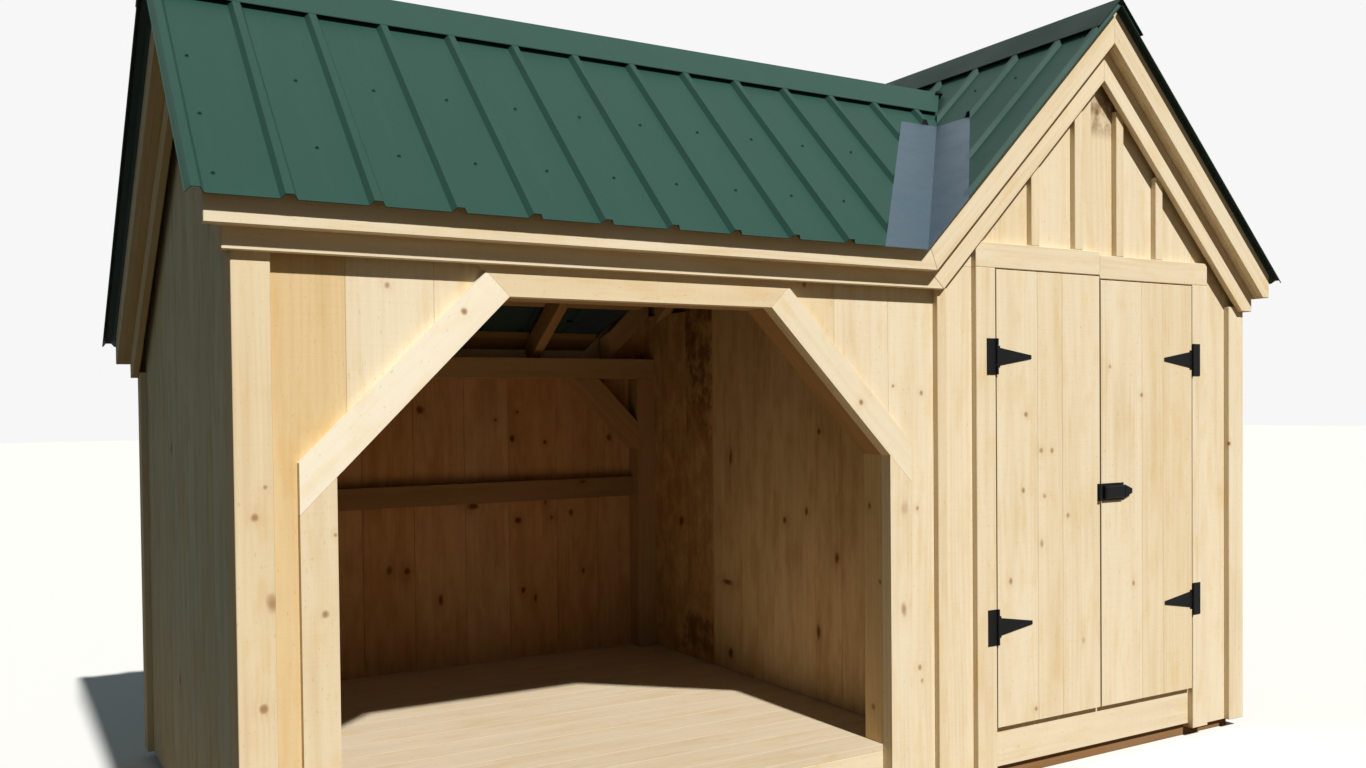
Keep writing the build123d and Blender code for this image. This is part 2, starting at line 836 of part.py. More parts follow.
# An extra rib runs along each gable edge
edge_rib = edge_foot + rib_base / 2
sheet_left = -left_edge
main_ribs = [sheet_left + edge_rib] + rib_rows(main_rib_first, sheet_left, main_ridge_end)
front_low = Vector(0, -metal_edge, front_roof(-metal_edge))
front_plane = Plane(origin=front_low, x_dir=(1, 0, 0), z_dir=(0, -1, -1))
front_run = (ridge_y + metal_edge) / steep_reach - 6.0
rear_low = Vector(0, depth + rear_edge, rear_roof(depth + rear_edge))
rear_plane = Plane(origin=rear_low, x_dir=(-1, 0, 0), z_dir=(0, 1, -rear_pitch))
rear_run = (depth + rear_edge - ridge_y) / rear_reach - 6.0
shed_start = -metal_edge
shed_end = depth + metal_edge
rear_edge_rib = shed_end - edge_rib
shed_ribs = [shed_start + edge_rib]
shed_ribs += rib_rows(shed_rib_first, shed_start, rear_edge_rib - rib_base / 2)
shed_ribs.append(rear_edge_rib)
right_low = Vector(length + metal_edge, 0, shed_roof(length + metal_edge))
right_plane = Plane(origin=right_low, x_dir=(0, 1, 0), z_dir=(1, 0, -1))
right_run = (length + metal_edge - gable_x) / steep_reach - 6.0
left_reach = gable_x - valley_rear(shed_end)
left_low = Vector(gable_x - left_reach, 0, gable_peak - left_reach)
left_plane = Plane(origin=left_low, x_dir=(0, -1, 0), z_dir=(-1, 0, -1))
left_run = left_reach / steep_reach - 6.0

# Plan outlines that trim the sheets along the two valleys
valley_main_y = valley_top - front_base
valley_main_rear_y = ridge_y + (ridge_z - valley_top) / rear_pitch
valley_shed_x = gable_x - (gable_peak - valley_top)
front_sheet_plan = [
    (-far, -far),
    (valley_front(-far) - valley_width, -far),
    (valley_front(valley_main_y) - valley_width, valley_main_y),
    (valley_front(valley_main_y), valley_main_y),
    (main_ridge_end, ridge_y),
    (-far, ridge_y),
]
rear_sheet_plan = [
    (-far, ridge_y),
    (main_ridge_end, ridge_y),
    (valley_rear(valley_main_rear_y), valley_main_rear_y),
    (valley_rear(valley_main_rear_y) - valley_width, valley_main_rear_y),
    (valley_rear(depth + far) - valley_width, depth + far),
    (-far, depth + far),
]
left_sheet_plan = [
    (valley_front(-far) + valley_width, -far),
    (gable_x, -far),
    (gable_x, depth + far),
    (valley_rear(depth + far) + valley_width, depth + far),
    (valley_shed_x, valley_main_rear_y + valley_width / rear_pitch),
    (valley_shed_x, valley_main_rear_y),
    (main_ridge_end, ridge_y),
    (valley_shed_x, valley_main_y),
    (valley_shed_x, valley_main_y - valley_width),
]

main_front = sheet_on(front_plane, sheet_left, length, main_ribs, front_run)
main_front = main_front & along_z(front_sheet_plan, floor_top, above_roof)
rear_ribs = [-middle for middle in reversed(main_ribs)]
main_rear = sheet_on(rear_plane, -length, -sheet_left, rear_ribs, rear_run)
main_rear = main_rear & along_z(rear_sheet_plan, floor_top, above_roof)
shed_right = sheet_on(right_plane, shed_start, shed_end, shed_ribs, right_run)
left_ribs = [-middle for middle in reversed(shed_ribs)]
shed_left = sheet_on(left_plane, -shed_end, -shed_start, left_ribs, left_run)
shed_left = shed_left & along_z(left_sheet_plan, floor_top, above_roof)
save("main_roof_front", [main_front])
save("main_roof_rear", [main_rear])
save("shed_roof_left", [shed_left])
save("shed_roof_right", [shed_right])

# Bare metal flashing in the valleys
front_flash_main = along_x(band_front(-metal_edge, ridge_y, -sheet, 0), -far, length)
front_flash_main = front_flash_main & along_z([
    (valley_front(-metal_edge) - valley_width, -metal_edge),
    (valley_front(-metal_edge), -metal_edge),
    (valley_front(valley_main_y), valley_main_y),
    (valley_front(valley_main_y) - valley_width, valley_main_y),
], floor_top, above_roof)
shed_flash_band = along_y(shed_band(0, gable_x, -sheet, 0), shed_start, shed_end)
front_flash_shed = shed_flash_band & along_z([
    (valley_front(-left_edge), -left_edge),
    (valley_front(-left_edge) + valley_width, -left_edge),
    (valley_shed_x, valley_main_y - valley_width),
    (valley_shed_x, valley_main_y),
], floor_top, above_roof)
rear_edge_y = depth + left_edge
rear_flash_main = along_x(band_rear(ridge_y, depth + rear_edge, -sheet, 0), -far, length)
rear_flash_main = rear_flash_main & along_z([
    (valley_rear(rear_edge_y) - valley_width, rear_edge_y),
    (valley_rear(rear_edge_y), rear_edge_y),
    (valley_rear(valley_main_rear_y), valley_main_rear_y),
    (valley_rear(valley_main_rear_y) - valley_width, valley_main_rear_y),
], floor_top, above_roof)
rear_flash_shed = shed_flash_band & along_z([
    (valley_rear(rear_edge_y), rear_edge_y),
    (valley_rear(rear_edge_y) + valley_width, rear_edge_y),
    (valley_shed_x, valley_main_rear_y + valley_width / rear_pitch),
    (valley_shed_x, valley_main_rear_y),
], floor_top, above_roof)
save("valley_flashing", [
    front_flash_main + front_flash_shed,
    rear_flash_main + rear_flash_shed,
])

# Ridge caps, resting on the ribs
cap_low = -rib_height
cap_top = -rib_height - sheet
cap_front_y = ridge_y - cap_width * steep_reach
cap_rear_y = ridge_y + cap_width * rear_reach
cap_shape = along_x([
    (cap_front_y, front_roof(cap_front_y) - cap_low / steep_reach),
    (ridge_y, ridge_z - cap_low / steep_reach),
    (cap_rear_y, rear_roof(cap_rear_y) - cap_low / rear_reach),
    (cap_rear_y, rear_roof(cap_rear_y) - cap_top / rear_reach),
    (ridge_y, ridge_z - cap_top / steep_reach),
    (cap_front_y, front_roof(cap_front_y) - cap_top / steep_reach),
], -left_edge, length)
shed_surface = gable_peak + (rib_height + 0.3) / steep_reach
shed_bulk = along_y([
    (-far, shed_surface - gable_x - far),
    (gable_x, shed_surface),
    (length + far, shed_surface),
    (length + far, shed_surface - gable_x - 2 * far),
    (-far, shed_surface - gable_x - 2 * far),
], -far, depth + far)
save("main_ridge_cap", [cap_shape - shed_bulk])
cap_half = cap_width * steep_reach
save("shed_ridge_cap", [along_y([
    (gable_x - cap_half, shed_roof(gable_x - cap_half) - cap_low / steep_reach),
    (gable_x, gable_peak - cap_low / steep_reach),
    (gable_x + cap_half, shed_roof(gable_x + cap_half) - cap_low / steep_reach),
    (gable_x + cap_half, shed_roof(gable_x + cap_half) - cap_top / steep_reach),
    (gable_x, gable_peak - cap_top / steep_reach),
    (gable_x - cap_half, shed_roof(gable_x - cap_half) - cap_top / steep_reach),
], shed_start, shed_end)])

# Doors: boards, ledges, T hinges and latch
leaf_width = door_half_width - door_gap - door_meeting_gap / 2
pin_y = -hinge_plate - knuckle_radius + 1.5
ledge_heights = (floor_top + 180.0, floor_top + 850.0, floor_top + 1520.0)


def door_leaf(leaf_top):
    hinge_side = door_left + door_gap
    leaf = box(hinge_side, hinge_side + leaf_width, 0, board, door_bottom, leaf_top)
    ledges = [
        box(hinge_side + 45.0, hinge_side + leaf_width - 30.0, board, board + ledge_thickness,
            z, z + ledge_width)
        for z in ledge_heights
    ]
    return fused([leaf] + ledges)


save("left_door", [door_leaf(door_head - door_gap)])
save("right_door", [mirrored(door_leaf(door_head - header_step - door_gap), gable_x)])

pin_x = door_left + door_gap / 2
knuckle = butt_height / 5


def barrel(z0, z1, radius):
    return Pos(pin_x, pin_y, (z0 + z1) / 2) * Cylinder(radius, z1 - z0)


def butt_leaf(middle):
    low = middle - butt_height / 2
    plate = box(pin_x - butt_width, pin_x - knuckle_radius + 1.0, -hinge_plate, 0,
                low, low + butt_height)
    tongues = []
    for row in (0, 2, 4):
        z0 = low + row * knuckle + (0.25 if row else 0)
        z1 = low + (row + 1) * knuckle - (0.25 if row < 4 else 0)
        tongues.append(box(pin_x - knuckle_radius - 2.0, pin_x, -hinge_plate, 0, z0, z1))
        tongues.append(barrel(z0, z1, knuckle_radius))
    leaf = fused([plate] + tongues)
    leaf = leaf - box(pin_x - knuckle_radius - 0.7, pin_x + 20, -30, 30,
                      low + knuckle, low + 2 * knuckle)
    leaf = leaf - box(pin_x - knuckle_radius - 0.7, pin_x + 20, -30, 30,
                      low + 3 * knuckle, low + 4 * knuckle)
    return leaf - barrel(low - 5, low + butt_height + 5, pin_radius + pin_clearance)


def strap_leaf(middle):
    low = middle - butt_height / 2
    root_x = pin_x + knuckle_radius + 1.0
    plate = along_y([
        (root_x, middle - strap_root / 2),
        (root_x + strap_length, middle - strap_tip / 2),
        (root_x + strap_length, middle + strap_tip / 2),
        (root_x, middle + strap_root / 2),
    ], -hinge_plate, 0)
    tongues = []
    for row in (1, 3):
        z0 = low + row * knuckle + 0.25
        z1 = low + (row + 1) * knuckle - 0.25
        tongues.append(box(pin_x, root_x + 12.0, -hinge_plate, 0, z0, z1))
        tongues.append(barrel(z0, z1, knuckle_radius))
    pin = barrel(low + 1, low + butt_height - 1, pin_radius)
    return fused([plate] + tongues + [pin])


butts = [butt_leaf(hinge_low), butt_leaf(hinge_high)]
straps = [strap_leaf(hinge_low), strap_leaf(hinge_high)]
save("hinge_butts", butts + [mirrored(leaf, gable_x) for leaf in butts])
save("left_hinge_straps", straps)
save("right_hinge_straps", [mirrored(leaf, gable_x) for leaf in straps])

latch_edge = gable_x + door_meeting_gap / 2 + latch_margin
latch_end = latch_edge + latch_plate_length
latch_half = latch_plate_width / 2
plate = box(latch_edge, latch_end, -latch_plate, 0, latch_height - latch_half, latch_height + latch_half)
case = box(latch_edge, latch_end - latch_case_inset, -latch_case_depth, -latch_plate,
           latch_height - latch_half + latch_case_inset, latch_height + latch_half - latch_case_inset)
case = chamfer(case.faces().sort_by(Axis.Y)[0].edges(), latch_case_chamfer)
nose = along_y([
    (latch_end, latch_height - latch_half + latch_case_inset),
    (latch_end + latch_nose_length, latch_height - latch_case_inset),
    (latch_end + latch_nose_length, latch_height + latch_case_inset),
    (latch_end, latch_height + latch_half - latch_case_inset),
], -latch_nose_depth, 0)
save("latch", [fused([plate, case, nose])])
keeper_edge = gable_x - door_meeting_gap / 2 - latch_margin
save("latch_keeper", [box(keeper_edge - keeper_width, keeper_edge, -latch_nose_depth, 0,
                          latch_height - latch_half, latch_height + latch_half)])
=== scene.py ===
import math
import random

import bmesh
import bpy
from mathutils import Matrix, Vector


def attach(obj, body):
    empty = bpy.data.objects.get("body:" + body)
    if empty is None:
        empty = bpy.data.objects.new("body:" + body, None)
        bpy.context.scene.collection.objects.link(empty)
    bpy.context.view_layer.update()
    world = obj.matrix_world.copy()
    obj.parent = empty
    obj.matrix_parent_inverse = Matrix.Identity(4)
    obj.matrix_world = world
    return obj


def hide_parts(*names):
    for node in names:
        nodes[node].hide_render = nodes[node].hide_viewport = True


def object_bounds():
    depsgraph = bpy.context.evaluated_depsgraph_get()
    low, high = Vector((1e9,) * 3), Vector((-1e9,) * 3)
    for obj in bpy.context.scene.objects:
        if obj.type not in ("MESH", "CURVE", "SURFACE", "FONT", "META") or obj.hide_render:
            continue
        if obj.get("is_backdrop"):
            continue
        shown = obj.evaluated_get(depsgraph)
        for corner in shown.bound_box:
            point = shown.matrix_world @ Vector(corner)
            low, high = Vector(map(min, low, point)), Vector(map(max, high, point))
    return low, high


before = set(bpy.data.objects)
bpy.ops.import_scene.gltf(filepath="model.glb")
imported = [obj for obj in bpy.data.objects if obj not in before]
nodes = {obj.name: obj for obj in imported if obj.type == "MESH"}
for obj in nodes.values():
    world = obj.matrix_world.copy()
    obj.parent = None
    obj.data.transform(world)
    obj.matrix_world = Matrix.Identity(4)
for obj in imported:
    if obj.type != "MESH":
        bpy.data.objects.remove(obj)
start_low, start_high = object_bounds()
bpy.context.scene.view_settings.view_transform = "Standard"
dice = random.Random(7)

# Building sizes in millimetres, measured from the left front ground corner
LENGTH = 4267.0
DEPTH = 2200.0
FLOOR = 225.0
BOARD = 25.0
GABLE_X = 3330.0

# Faces of the walls: casings stand in front of the siding
CASING_FACE = 0.0
SIDING_FACE = BOARD
SIDING_BACK = 2 * BOARD
REAR_FACE = 2150.0
PARTITION_FACE = 2410.0

# Opening of the bay, with its two cut corners
BAY_LEFT = 266.0
BAY_RIGHT = 2222.0
BAY_SHOULDER = 1275.0
BAY_CORNER = 510.0

# Roof planes, and the ribs and ends of the sheets
ROOF_AT_FRONT = FLOOR + 1884.0
RIDGE_Y = 700.0
REAR_SLOPE = 8 / 12
SHED_PEAK = FLOOR + 2797.0
RIB_PITCH = 228.6
MAIN_RIB = 127.9
SHED_RIB = 103.0
EDGE_RIB = 85.4
MAIN_RIB_COUNT = 14
SHED_RIB_COUNT = 10
FRONT_SHEET_END = -98.0
REAR_SHEET_END = DEPTH + 90.0


def at(x, y, z):
    return Vector(((x - LENGTH / 2) / 1000, (y - DEPTH / 2) / 1000, z / 1000))


def x_at(values):
    return [(v - LENGTH / 2) / 1000 for v in values]


def y_at(values):
    return [(v - DEPTH / 2) / 1000 for v in values]


def rgb(red, green, blue):
    return (red, green, blue, 1.0)


# Shader building
class Nodes:
    """Adds and joins the nodes of one tree."""

    def __init__(self, tree):
        self.tree = tree
        self.tree.nodes.clear()

    def join(self, source, target):
        self.tree.links.new(source, target)

    def fill(self, socket, value):
        if isinstance(value, bpy.types.NodeSocket):
            self.join(value, socket)
        else:
            socket.default_value = value

    def add(self, kind, **settings):
        node = self.tree.nodes.new("ShaderNode" + kind)
        for key, value in settings.items():
            setattr(node, key, value)
        return node

    def parts(self, vector):
        node = self.add("SeparateXYZ")
        self.join(vector, node.inputs[0])
        return node.outputs

    def math(self, operation, first, second=0.5, third=None, clamp=False):
        node = self.add("Math", operation=operation, use_clamp=clamp)
        self.fill(node.inputs[0], first)
        self.fill(node.inputs[1], second)
        if third is not None:
            self.fill(node.inputs[2], third)
        return node.outputs[0]

    def vector(self, operation, first, second=(0, 0, 0)):
        node = self.add("VectorMath", operation=operation)
        self.fill(node.inputs[0], first)
        self.fill(node.inputs[1], second)
        if operation == "LENGTH":
            return node.outputs["Value"]
        return node.outputs["Vector"]

    def noise(self, place, stretch, detail=2.0, rough=0.5):
        node = self.add("TexNoise", noise_dimensions="3D")
        self.fill(node.inputs["Vector"], self.vector("MULTIPLY", place, stretch))
        node.inputs["Scale"].default_value = 1.0
        node.inputs["Detail"].default_value = detail
        node.inputs["Roughness"].default_value = rough
        return node.outputs[0]

    def step(self, value, low, high, to_low=0.0, to_high=1.0, smooth=True):
        node = self.add("MapRange", interpolation_type="SMOOTHSTEP" if smooth else "LINEAR")
        node.clamp = True
        self.fill(node.inputs["Value"], value)
        node.inputs["From Min"].default_value = low
        node.inputs["From Max"].default_value = high
        node.inputs["To Min"].default_value = to_low
        node.inputs["To Max"].default_value = to_high
        return node.outputs["Result"]

    def mix(self, factor, first, second, blend="MIX"):
        node = self.add("Mix", data_type="RGBA", blend_type=blend)
        self.fill(node.inputs["Factor"], factor)
        self.fill(node.inputs[6], first)
        self.fill(node.inputs[7], second)
        return node.outputs[2]

    def tint(self, amount, colour, by):
        return self.mix(amount, colour, by, "MULTIPLY")

    def seen(self):
        """One on rays that show a surface itself, and nothing on rays that light another."""
        rays = self.add("LightPath").outputs
        shown = self.math("MAXIMUM", rays["Is Camera Ray"], rays["Is Glossy Ray"])
        return self.math("MAXIMUM", shown, rays["Is Transmission Ray"])


class Shade(Nodes):
    """A material with one Principled shader."""

    def __init__(self, name):
        self.material = bpy.data.materials.new(name)
        self.material.use_nodes = True
        super().__init__(self.material.node_tree)
        self.shader = self.add("BsdfPrincipled")
        self.join(self.shader.outputs[0], self.add("OutputMaterial").inputs["Surface"])

    def set(self, name, value):
        self.fill(self.shader.inputs[name], value)

    def bump(self, height, strength, distance):
        node = self.add("Bump")
        node.inputs["Strength"].default_value = strength
        node.inputs["Distance"].default_value = distance
        self.fill(node.inputs["Height"], height)
        self.set("Normal", node.outputs[0])


# Colours of the wood: the pale early wood and the deeper late wood of each group
PALE = rgb(0.800, 0.706, 0.530)
DEEP = rgb(0.665, 0.510, 0.302)
# The end walls: greyer and darker than the front, painted shade
END_WALL_SHADE_PALE = rgb(0.725, 0.695, 0.535)
END_WALL_SHADE_DEEP = rgb(0.570, 0.485, 0.305)
FLOOR_PALE = rgb(0.690, 0.590, 0.440)
FLOOR_DEEP = rgb(0.585, 0.470, 0.315)
# Inside the bay: the rear wall, the partition, the framing, and the girts and skids, browner and darker
# than the front, painted shade
REAR_PALE = rgb(0.57, 0.325, 0.155)
REAR_DEEP = rgb(0.39, 0.200, 0.083)
SIDE_PALE = rgb(0.68, 0.485, 0.270)
SIDE_DEEP = rgb(0.49, 0.315, 0.155)
FRAMING_PALE = rgb(0.44, 0.275, 0.140)
FRAMING_DEEP = rgb(0.32, 0.185, 0.085)
DARK_PALE = rgb(0.30, 0.175, 0.085)
DARK_DEEP = rgb(0.21, 0.115, 0.050)
# The front posts by the opening: lighter than the framing and browner than the front, painted light and
# shade
POST_PALE = rgb(0.76, 0.60, 0.38)
POST_DEEP = rgb(0.58, 0.43, 0.24)

# Tints that its marks give the wood
FRESH = rgb(0.92, 0.85, 0.70)
AGED = rgb(0.90, 0.78, 0.58)
GREYED = rgb(0.95, 0.93, 0.90)
YELLOWED = rgb(0.95, 0.86, 0.68)
CLOUDED = rgb(0.90, 0.84, 0.74)
SAW_MARK = rgb(0.84, 0.79, 0.72)
SPECK = rgb(0.66, 0.54, 0.42)
MOTTLED = rgb(0.68, 0.60, 0.54)
# Tint of the darker patches; over the rear of the partition these paint shade
DARK_PATCH_TINT = rgb(0.40, 0.33, 0.27)
KNOT_RIM = rgb(0.54, 0.40, 0.31)
KNOT_HEART = rgb(0.42, 0.34, 0.30)


def knots_in(s, place, body, share_of_cells, seen_knots):
    """Knots as ovals along the grain, and the wider halo in which the rings bend round them."""
    cells = s.add("TexVoronoi", voronoi_dimensions="3D", feature="F1")
    s.fill(cells.inputs["Vector"], s.vector("MULTIPLY", place, (2.6, 5.6, 2.0)))
    cells.inputs["Scale"].default_value = 1.0
    pick = s.add("SeparateColor")
    s.join(cells.outputs["Color"], pick.inputs[0])
    there = s.math("LESS_THAN", pick.outputs[0], share_of_cells)
    size = s.math("MULTIPLY_ADD", pick.outputs[1], 0.045, 0.030)
    wobble = s.noise(place, (26.0, 34.0, 34.0), 1.0)
    distance = s.math("MULTIPLY_ADD", wobble, 0.022, cells.outputs["Distance"])
    share = s.math("DIVIDE", distance, size)
    knot = s.math("MULTIPLY", s.step(share, 0.40, 1.55, 1.0, 0.0), there)
    halo = s.math("MULTIPLY", s.step(share, 1.0, 4.5, 1.0, 0.0), there)
    for x, y, z, across, along, dark in seen_knots:
        away = s.vector("SUBTRACT", body, tuple(at(x, y, z)))
        away = s.vector("MULTIPLY", away, (1000 / across, 1000 / across, 1000 / along))
        near = s.math("MULTIPLY_ADD", wobble, 0.9, s.vector("LENGTH", away))
        knot = s.math("MAXIMUM", knot, s.step(near, 0.6, 2.0, dark, 0.0))
        halo = s.math("MAXIMUM", halo, s.step(near, 1.2, 4.5, dark, 0.0))
    return knot, halo


def rings_in(s, place, streak, halo):
    """Growth rings, bent by slow waves along the board and by the knots."""
    wave = s.noise(place, (0.8, 6.0, 6.0), 1.0)
    radius = s.vector("LENGTH", s.vector("MULTIPLY", place, (0.0, 1.0, 1.0)))
    radius = s.math("MULTIPLY_ADD", wave, 0.075, radius)
    radius = s.math("MULTIPLY_ADD", halo, 0.010, radius)
    phase = s.math("MULTIPLY_ADD", streak, 9.0, s.math("MULTIPLY", radius, 330.0))
    return s.math("POWER", s.math("MULTIPLY_ADD", s.math("SINE", phase), 0.5, 0.5), 2.0)


def patch_in(s, body, mottle, patch):
    """One darker patch, sharp at the sides, soft up and down, and mottled."""
    x, y, z, half_x, half_y, half_z, dark = patch
    away = s.vector("SUBTRACT", body, tuple(at(x, y, z)))
    away = s.vector("MULTIPLY", away, (1000 / half_x, 1000 / half_y, 1000 / half_z))
    parts = s.parts(s.vector("ABSOLUTE", away))
    beside = s.step(s.math("MAXIMUM", parts[0], parts[1]), 0.97, 1.0, dark, 0.0)
    above = s.step(parts[2], 0.5, 1.1, 1.0, 0.0)
    return s.math("MULTIPLY", s.math("MULTIPLY", beside, above), s.step(mottle, 0.36, 0.60, 0.15, 1.0))


def wood(name, pale, deep, knot_share=0.5, knots=(), patches=(), spread=1.0, mottling=0.0, back=None):
    """Rough sawn pine. Each board carries its own place along the grain and its own tone.

    Spread scales the difference in tone between boards. Back is the depth in the building from
    which the wood takes the colours of the outside; in front of it, the inside faces keep the
    given darker colours, which paint the shade inside the bay.
    """
    s = Shade(name)
    place = s.add("Attribute", attribute_name="board_place").outputs["Vector"]
    tone = s.add("Attribute", attribute_name="board_tone").outputs["Fac"]
    body = s.add("TexCoord").outputs["Object"]
    streak = s.noise(place, (0.9, 17.0, 17.0), 3.0, 0.6)
    fibre = s.noise(place, (9.0, 280.0, 280.0), 1.0)
    teeth = s.noise(place, (130.0, 4.0, 4.0), 2.0)
    cloud = s.noise(place, (1.5, 3.0, 3.0), 1.0)
    blotch = s.noise(place, (4.5, 15.0, 15.0), 3.0, 0.6)
    speck = s.noise(place, (60.0, 130.0, 130.0), 1.0)
    mottle = s.noise(body, (11.0, 11.0, 8.0), 4.0, 0.7)
    knot, halo = knots_in(s, place, body, knot_share, knots)

    # Share of late wood, from the rings, streaks and fibres, and higher round the knots
    rings = rings_in(s, place, streak, halo)
    late = s.math("MULTIPLY", rings, s.step(cloud, 0.3, 0.7, 0.04, 0.26))
    late = s.math("MULTIPLY_ADD", s.step(streak, 0.38, 0.74), 0.34, late)
    late = s.math("MULTIPLY_ADD", s.step(fibre, 0.35, 0.8), 0.07, late)
    late = s.math("MULTIPLY_ADD", halo, 0.38, late, clamp=True)
    # Lit outside, shaded inside: the outside faces take the front colours, and the inside ones keep the
    # darker colours, painted shade
    if back:
        outside = s.math("GREATER_THAN", s.parts(body)[1], at(0, back, 0).y)
        pale = s.mix(outside, pale, PALE)
        deep = s.mix(outside, deep, DEEP)
    colour = s.mix(late, pale, deep)

    # Tone of the board: below 0 it is freshly sawn, and above 0 it is aged and a little grey
    colour = s.mix(s.math("MULTIPLY", tone, -0.65, clamp=True), colour, FRESH)
    tone = s.math("MULTIPLY", s.math("MAXIMUM", tone, 0.0), spread)
    aged = s.math("MULTIPLY", s.math("MULTIPLY", tone, tone), 0.60)
    grey = s.math("FRACT", s.math("MULTIPLY", tone, 7.31))
    colour = s.tint(aged, colour, AGED)
    colour = s.tint(s.math("MULTIPLY", grey, 0.22), colour, GREYED)

    # Marks within the board
    colour = s.tint(s.step(blotch, 0.50, 0.68, 0.0, 0.50), colour, YELLOWED)
    colour = s.tint(s.step(cloud, 0.45, 0.75, 0.0, 0.25), colour, CLOUDED)
    colour = s.tint(s.step(teeth, 0.45, 0.80, 0.0, 0.10), colour, SAW_MARK)
    colour = s.tint(s.step(speck, 0.66, 0.80, 0.0, 0.40), colour, SPECK)
    if mottling:
        colour = s.tint(s.step(blotch, 0.38, 0.66, 0.0, mottling), colour, MOTTLED)
    # Darker patches, each with its own darkness; those over the rear of the partition are painted shade
    for patch in patches:
        colour = s.tint(patch_in(s, body, mottle, patch), colour, DARK_PATCH_TINT)
    colour = s.tint(s.step(knot, 0.02, 0.55, 0.0, 0.90), colour, KNOT_RIM)
    colour = s.tint(s.step(knot, 0.45, 0.95, 0.0, 0.90), colour, KNOT_HEART)
    s.set("Base Color", colour)
    s.set("Roughness", s.step(streak, 0.2, 0.8, 0.76, 0.94, False))
    s.set("Specular IOR Level", 0.06)
    s.bump(s.math("MULTIPLY_ADD", teeth, 0.8, s.math("MULTIPLY", fibre, 0.6)), 0.4, 0.0010)
    return s.material


def coated_metal(name, colour, dusty, rough):
    """Painted roofing steel: slight oil canning, dust and rain streaks down the slope."""
    s = Shade(name)
    body = s.add("TexCoord").outputs["Object"]
    dust = s.noise(body, (3.6, 2.4, 2.4), 3.0, 0.6)
    streak = s.noise(body, (26.0, 1.1, 1.1), 2.0, 0.6)
    grit = s.noise(body, (220.0, 220.0, 220.0), 1.0)
    paint = s.mix(s.step(dust, 0.3, 0.75, 0.0, 0.45), colour, dusty)
    paint = s.mix(s.step(streak, 0.45, 0.8, 0.0, 0.30), paint, dusty)
    paint = s.mix(s.step(grit, 0.55, 0.8, 0.0, 0.18), paint, rgb(0.07, 0.10, 0.085))
    normal = s.parts(s.add("NewGeometry").outputs["True Normal"])
    underside = s.math("LESS_THAN", normal[2], -0.2)
    s.set("Base Color", s.mix(underside, paint, rgb(0.034, 0.060, 0.054)))
    s.set("Roughness", s.step(dust, 0.2, 0.8, rough - 0.08, rough + 0.12, False))
    s.set("Specular IOR Level", 0.10)
    s.bump(s.noise(body, (5.0, 1.4, 1.4), 1.0), 0.22, 0.01)
    return s.material


def bare_metal(name, colour, deep, rough):
    """Galvanised flashing with a faint spangle and scuffs."""
    s = Shade(name)
    body = s.add("TexCoord").outputs["Object"]
    spangle = s.add("TexVoronoi", feature="F1")
    s.join(body, spangle.inputs["Vector"])
    spangle.inputs["Scale"].default_value = 90.0
    pick = s.add("SeparateColor")
    s.join(spangle.outputs["Color"], pick.inputs[0])
    stain = s.noise(body, (4.0, 4.0, 12.0), 3.0, 0.6)
    metal = s.mix(s.math("MULTIPLY", pick.outputs[0], 0.25), colour, deep)
    metal = s.mix(s.step(stain, 0.4, 0.75, 0.0, 0.45), metal, deep)
    s.set("Base Color", metal)
    s.set("Metallic", 0.85)
    s.set("Roughness", s.step(stain, 0.2, 0.8, rough - 0.06, rough + 0.14, False))
    s.bump(s.noise(body, (40.0, 40.0, 40.0), 1.0), 0.12, 0.002)
    return s.material


def black_metal(name):
    """Black powder coat, rubbed a little at random."""
    s = Shade(name)
    body = s.add("TexCoord").outputs["Object"]
    wear = s.noise(body, (60.0, 60.0, 60.0), 3.0, 0.6)
    black = rgb(0.004, 0.004, 0.0045)
    rubbed = rgb(0.016, 0.014, 0.012)
    s.set("Base Color", s.mix(s.step(wear, 0.55, 0.75, 0.0, 0.35), black, rubbed))
    s.set("Roughness", s.step(wear, 0.3, 0.7, 0.50, 0.66, False))
    s.set("Specular IOR Level", 0.12)
    s.bump(s.noise(body, (600.0, 600.0, 600.0), 1.0), 0.2, 0.0004)
    return s.material


# Knots seen in the photo. Each row ends with its height above the floor, half width, half
# length and darkness.
FRONT_KNOTS = [(x, y, FLOOR + up, *size) for x, y, up, *size in (
    (50, CASING_FACE, 952, 11, 12, 0.60),
    (90, CASING_FACE, 722, 17, 24, 0.50),
    (65, CASING_FACE, 445, 13, 14, 0.62),
    (78, CASING_FACE, 1030, 6, 7, 0.45),
    (229, CASING_FACE, 679, 10, 11, 0.60),
    (259, CASING_FACE, 893, 6, 7, 0.45),
    (635, CASING_FACE, 1512, 10, 10, 0.75),
    (419, SIDING_FACE, 1580, 9, 10, 0.50),
    (1942, CASING_FACE, 1485, 9, 9, 0.70),
    (2090, CASING_FACE, 1241, 10, 10, 0.70),
    (1865, SIDING_FACE, 1646, 9, 12, 0.60),
    (2259, SIDING_FACE, 1298, 8, 8, 0.60),
    (2392, SIDING_FACE, 1272, 9, 10, 0.60),
    (2290, CASING_FACE, 855, 20, 38, 0.30),
    (2282, CASING_FACE, 491, 14, 26, 0.50),
    (2370, SIDING_FACE, 851, 8, 9, 0.50),
    (2378, SIDING_FACE, 265, 9, 11, 0.50),
    (2388, SIDING_FACE, 215, 7, 9, 0.40),
    (4168, CASING_FACE, 1042, 9, 9, 0.80),
    (4126, CASING_FACE, 841, 14, 15, 0.60),
    (3345, SIDING_FACE, 2405, 10, 16, 0.50),
)]
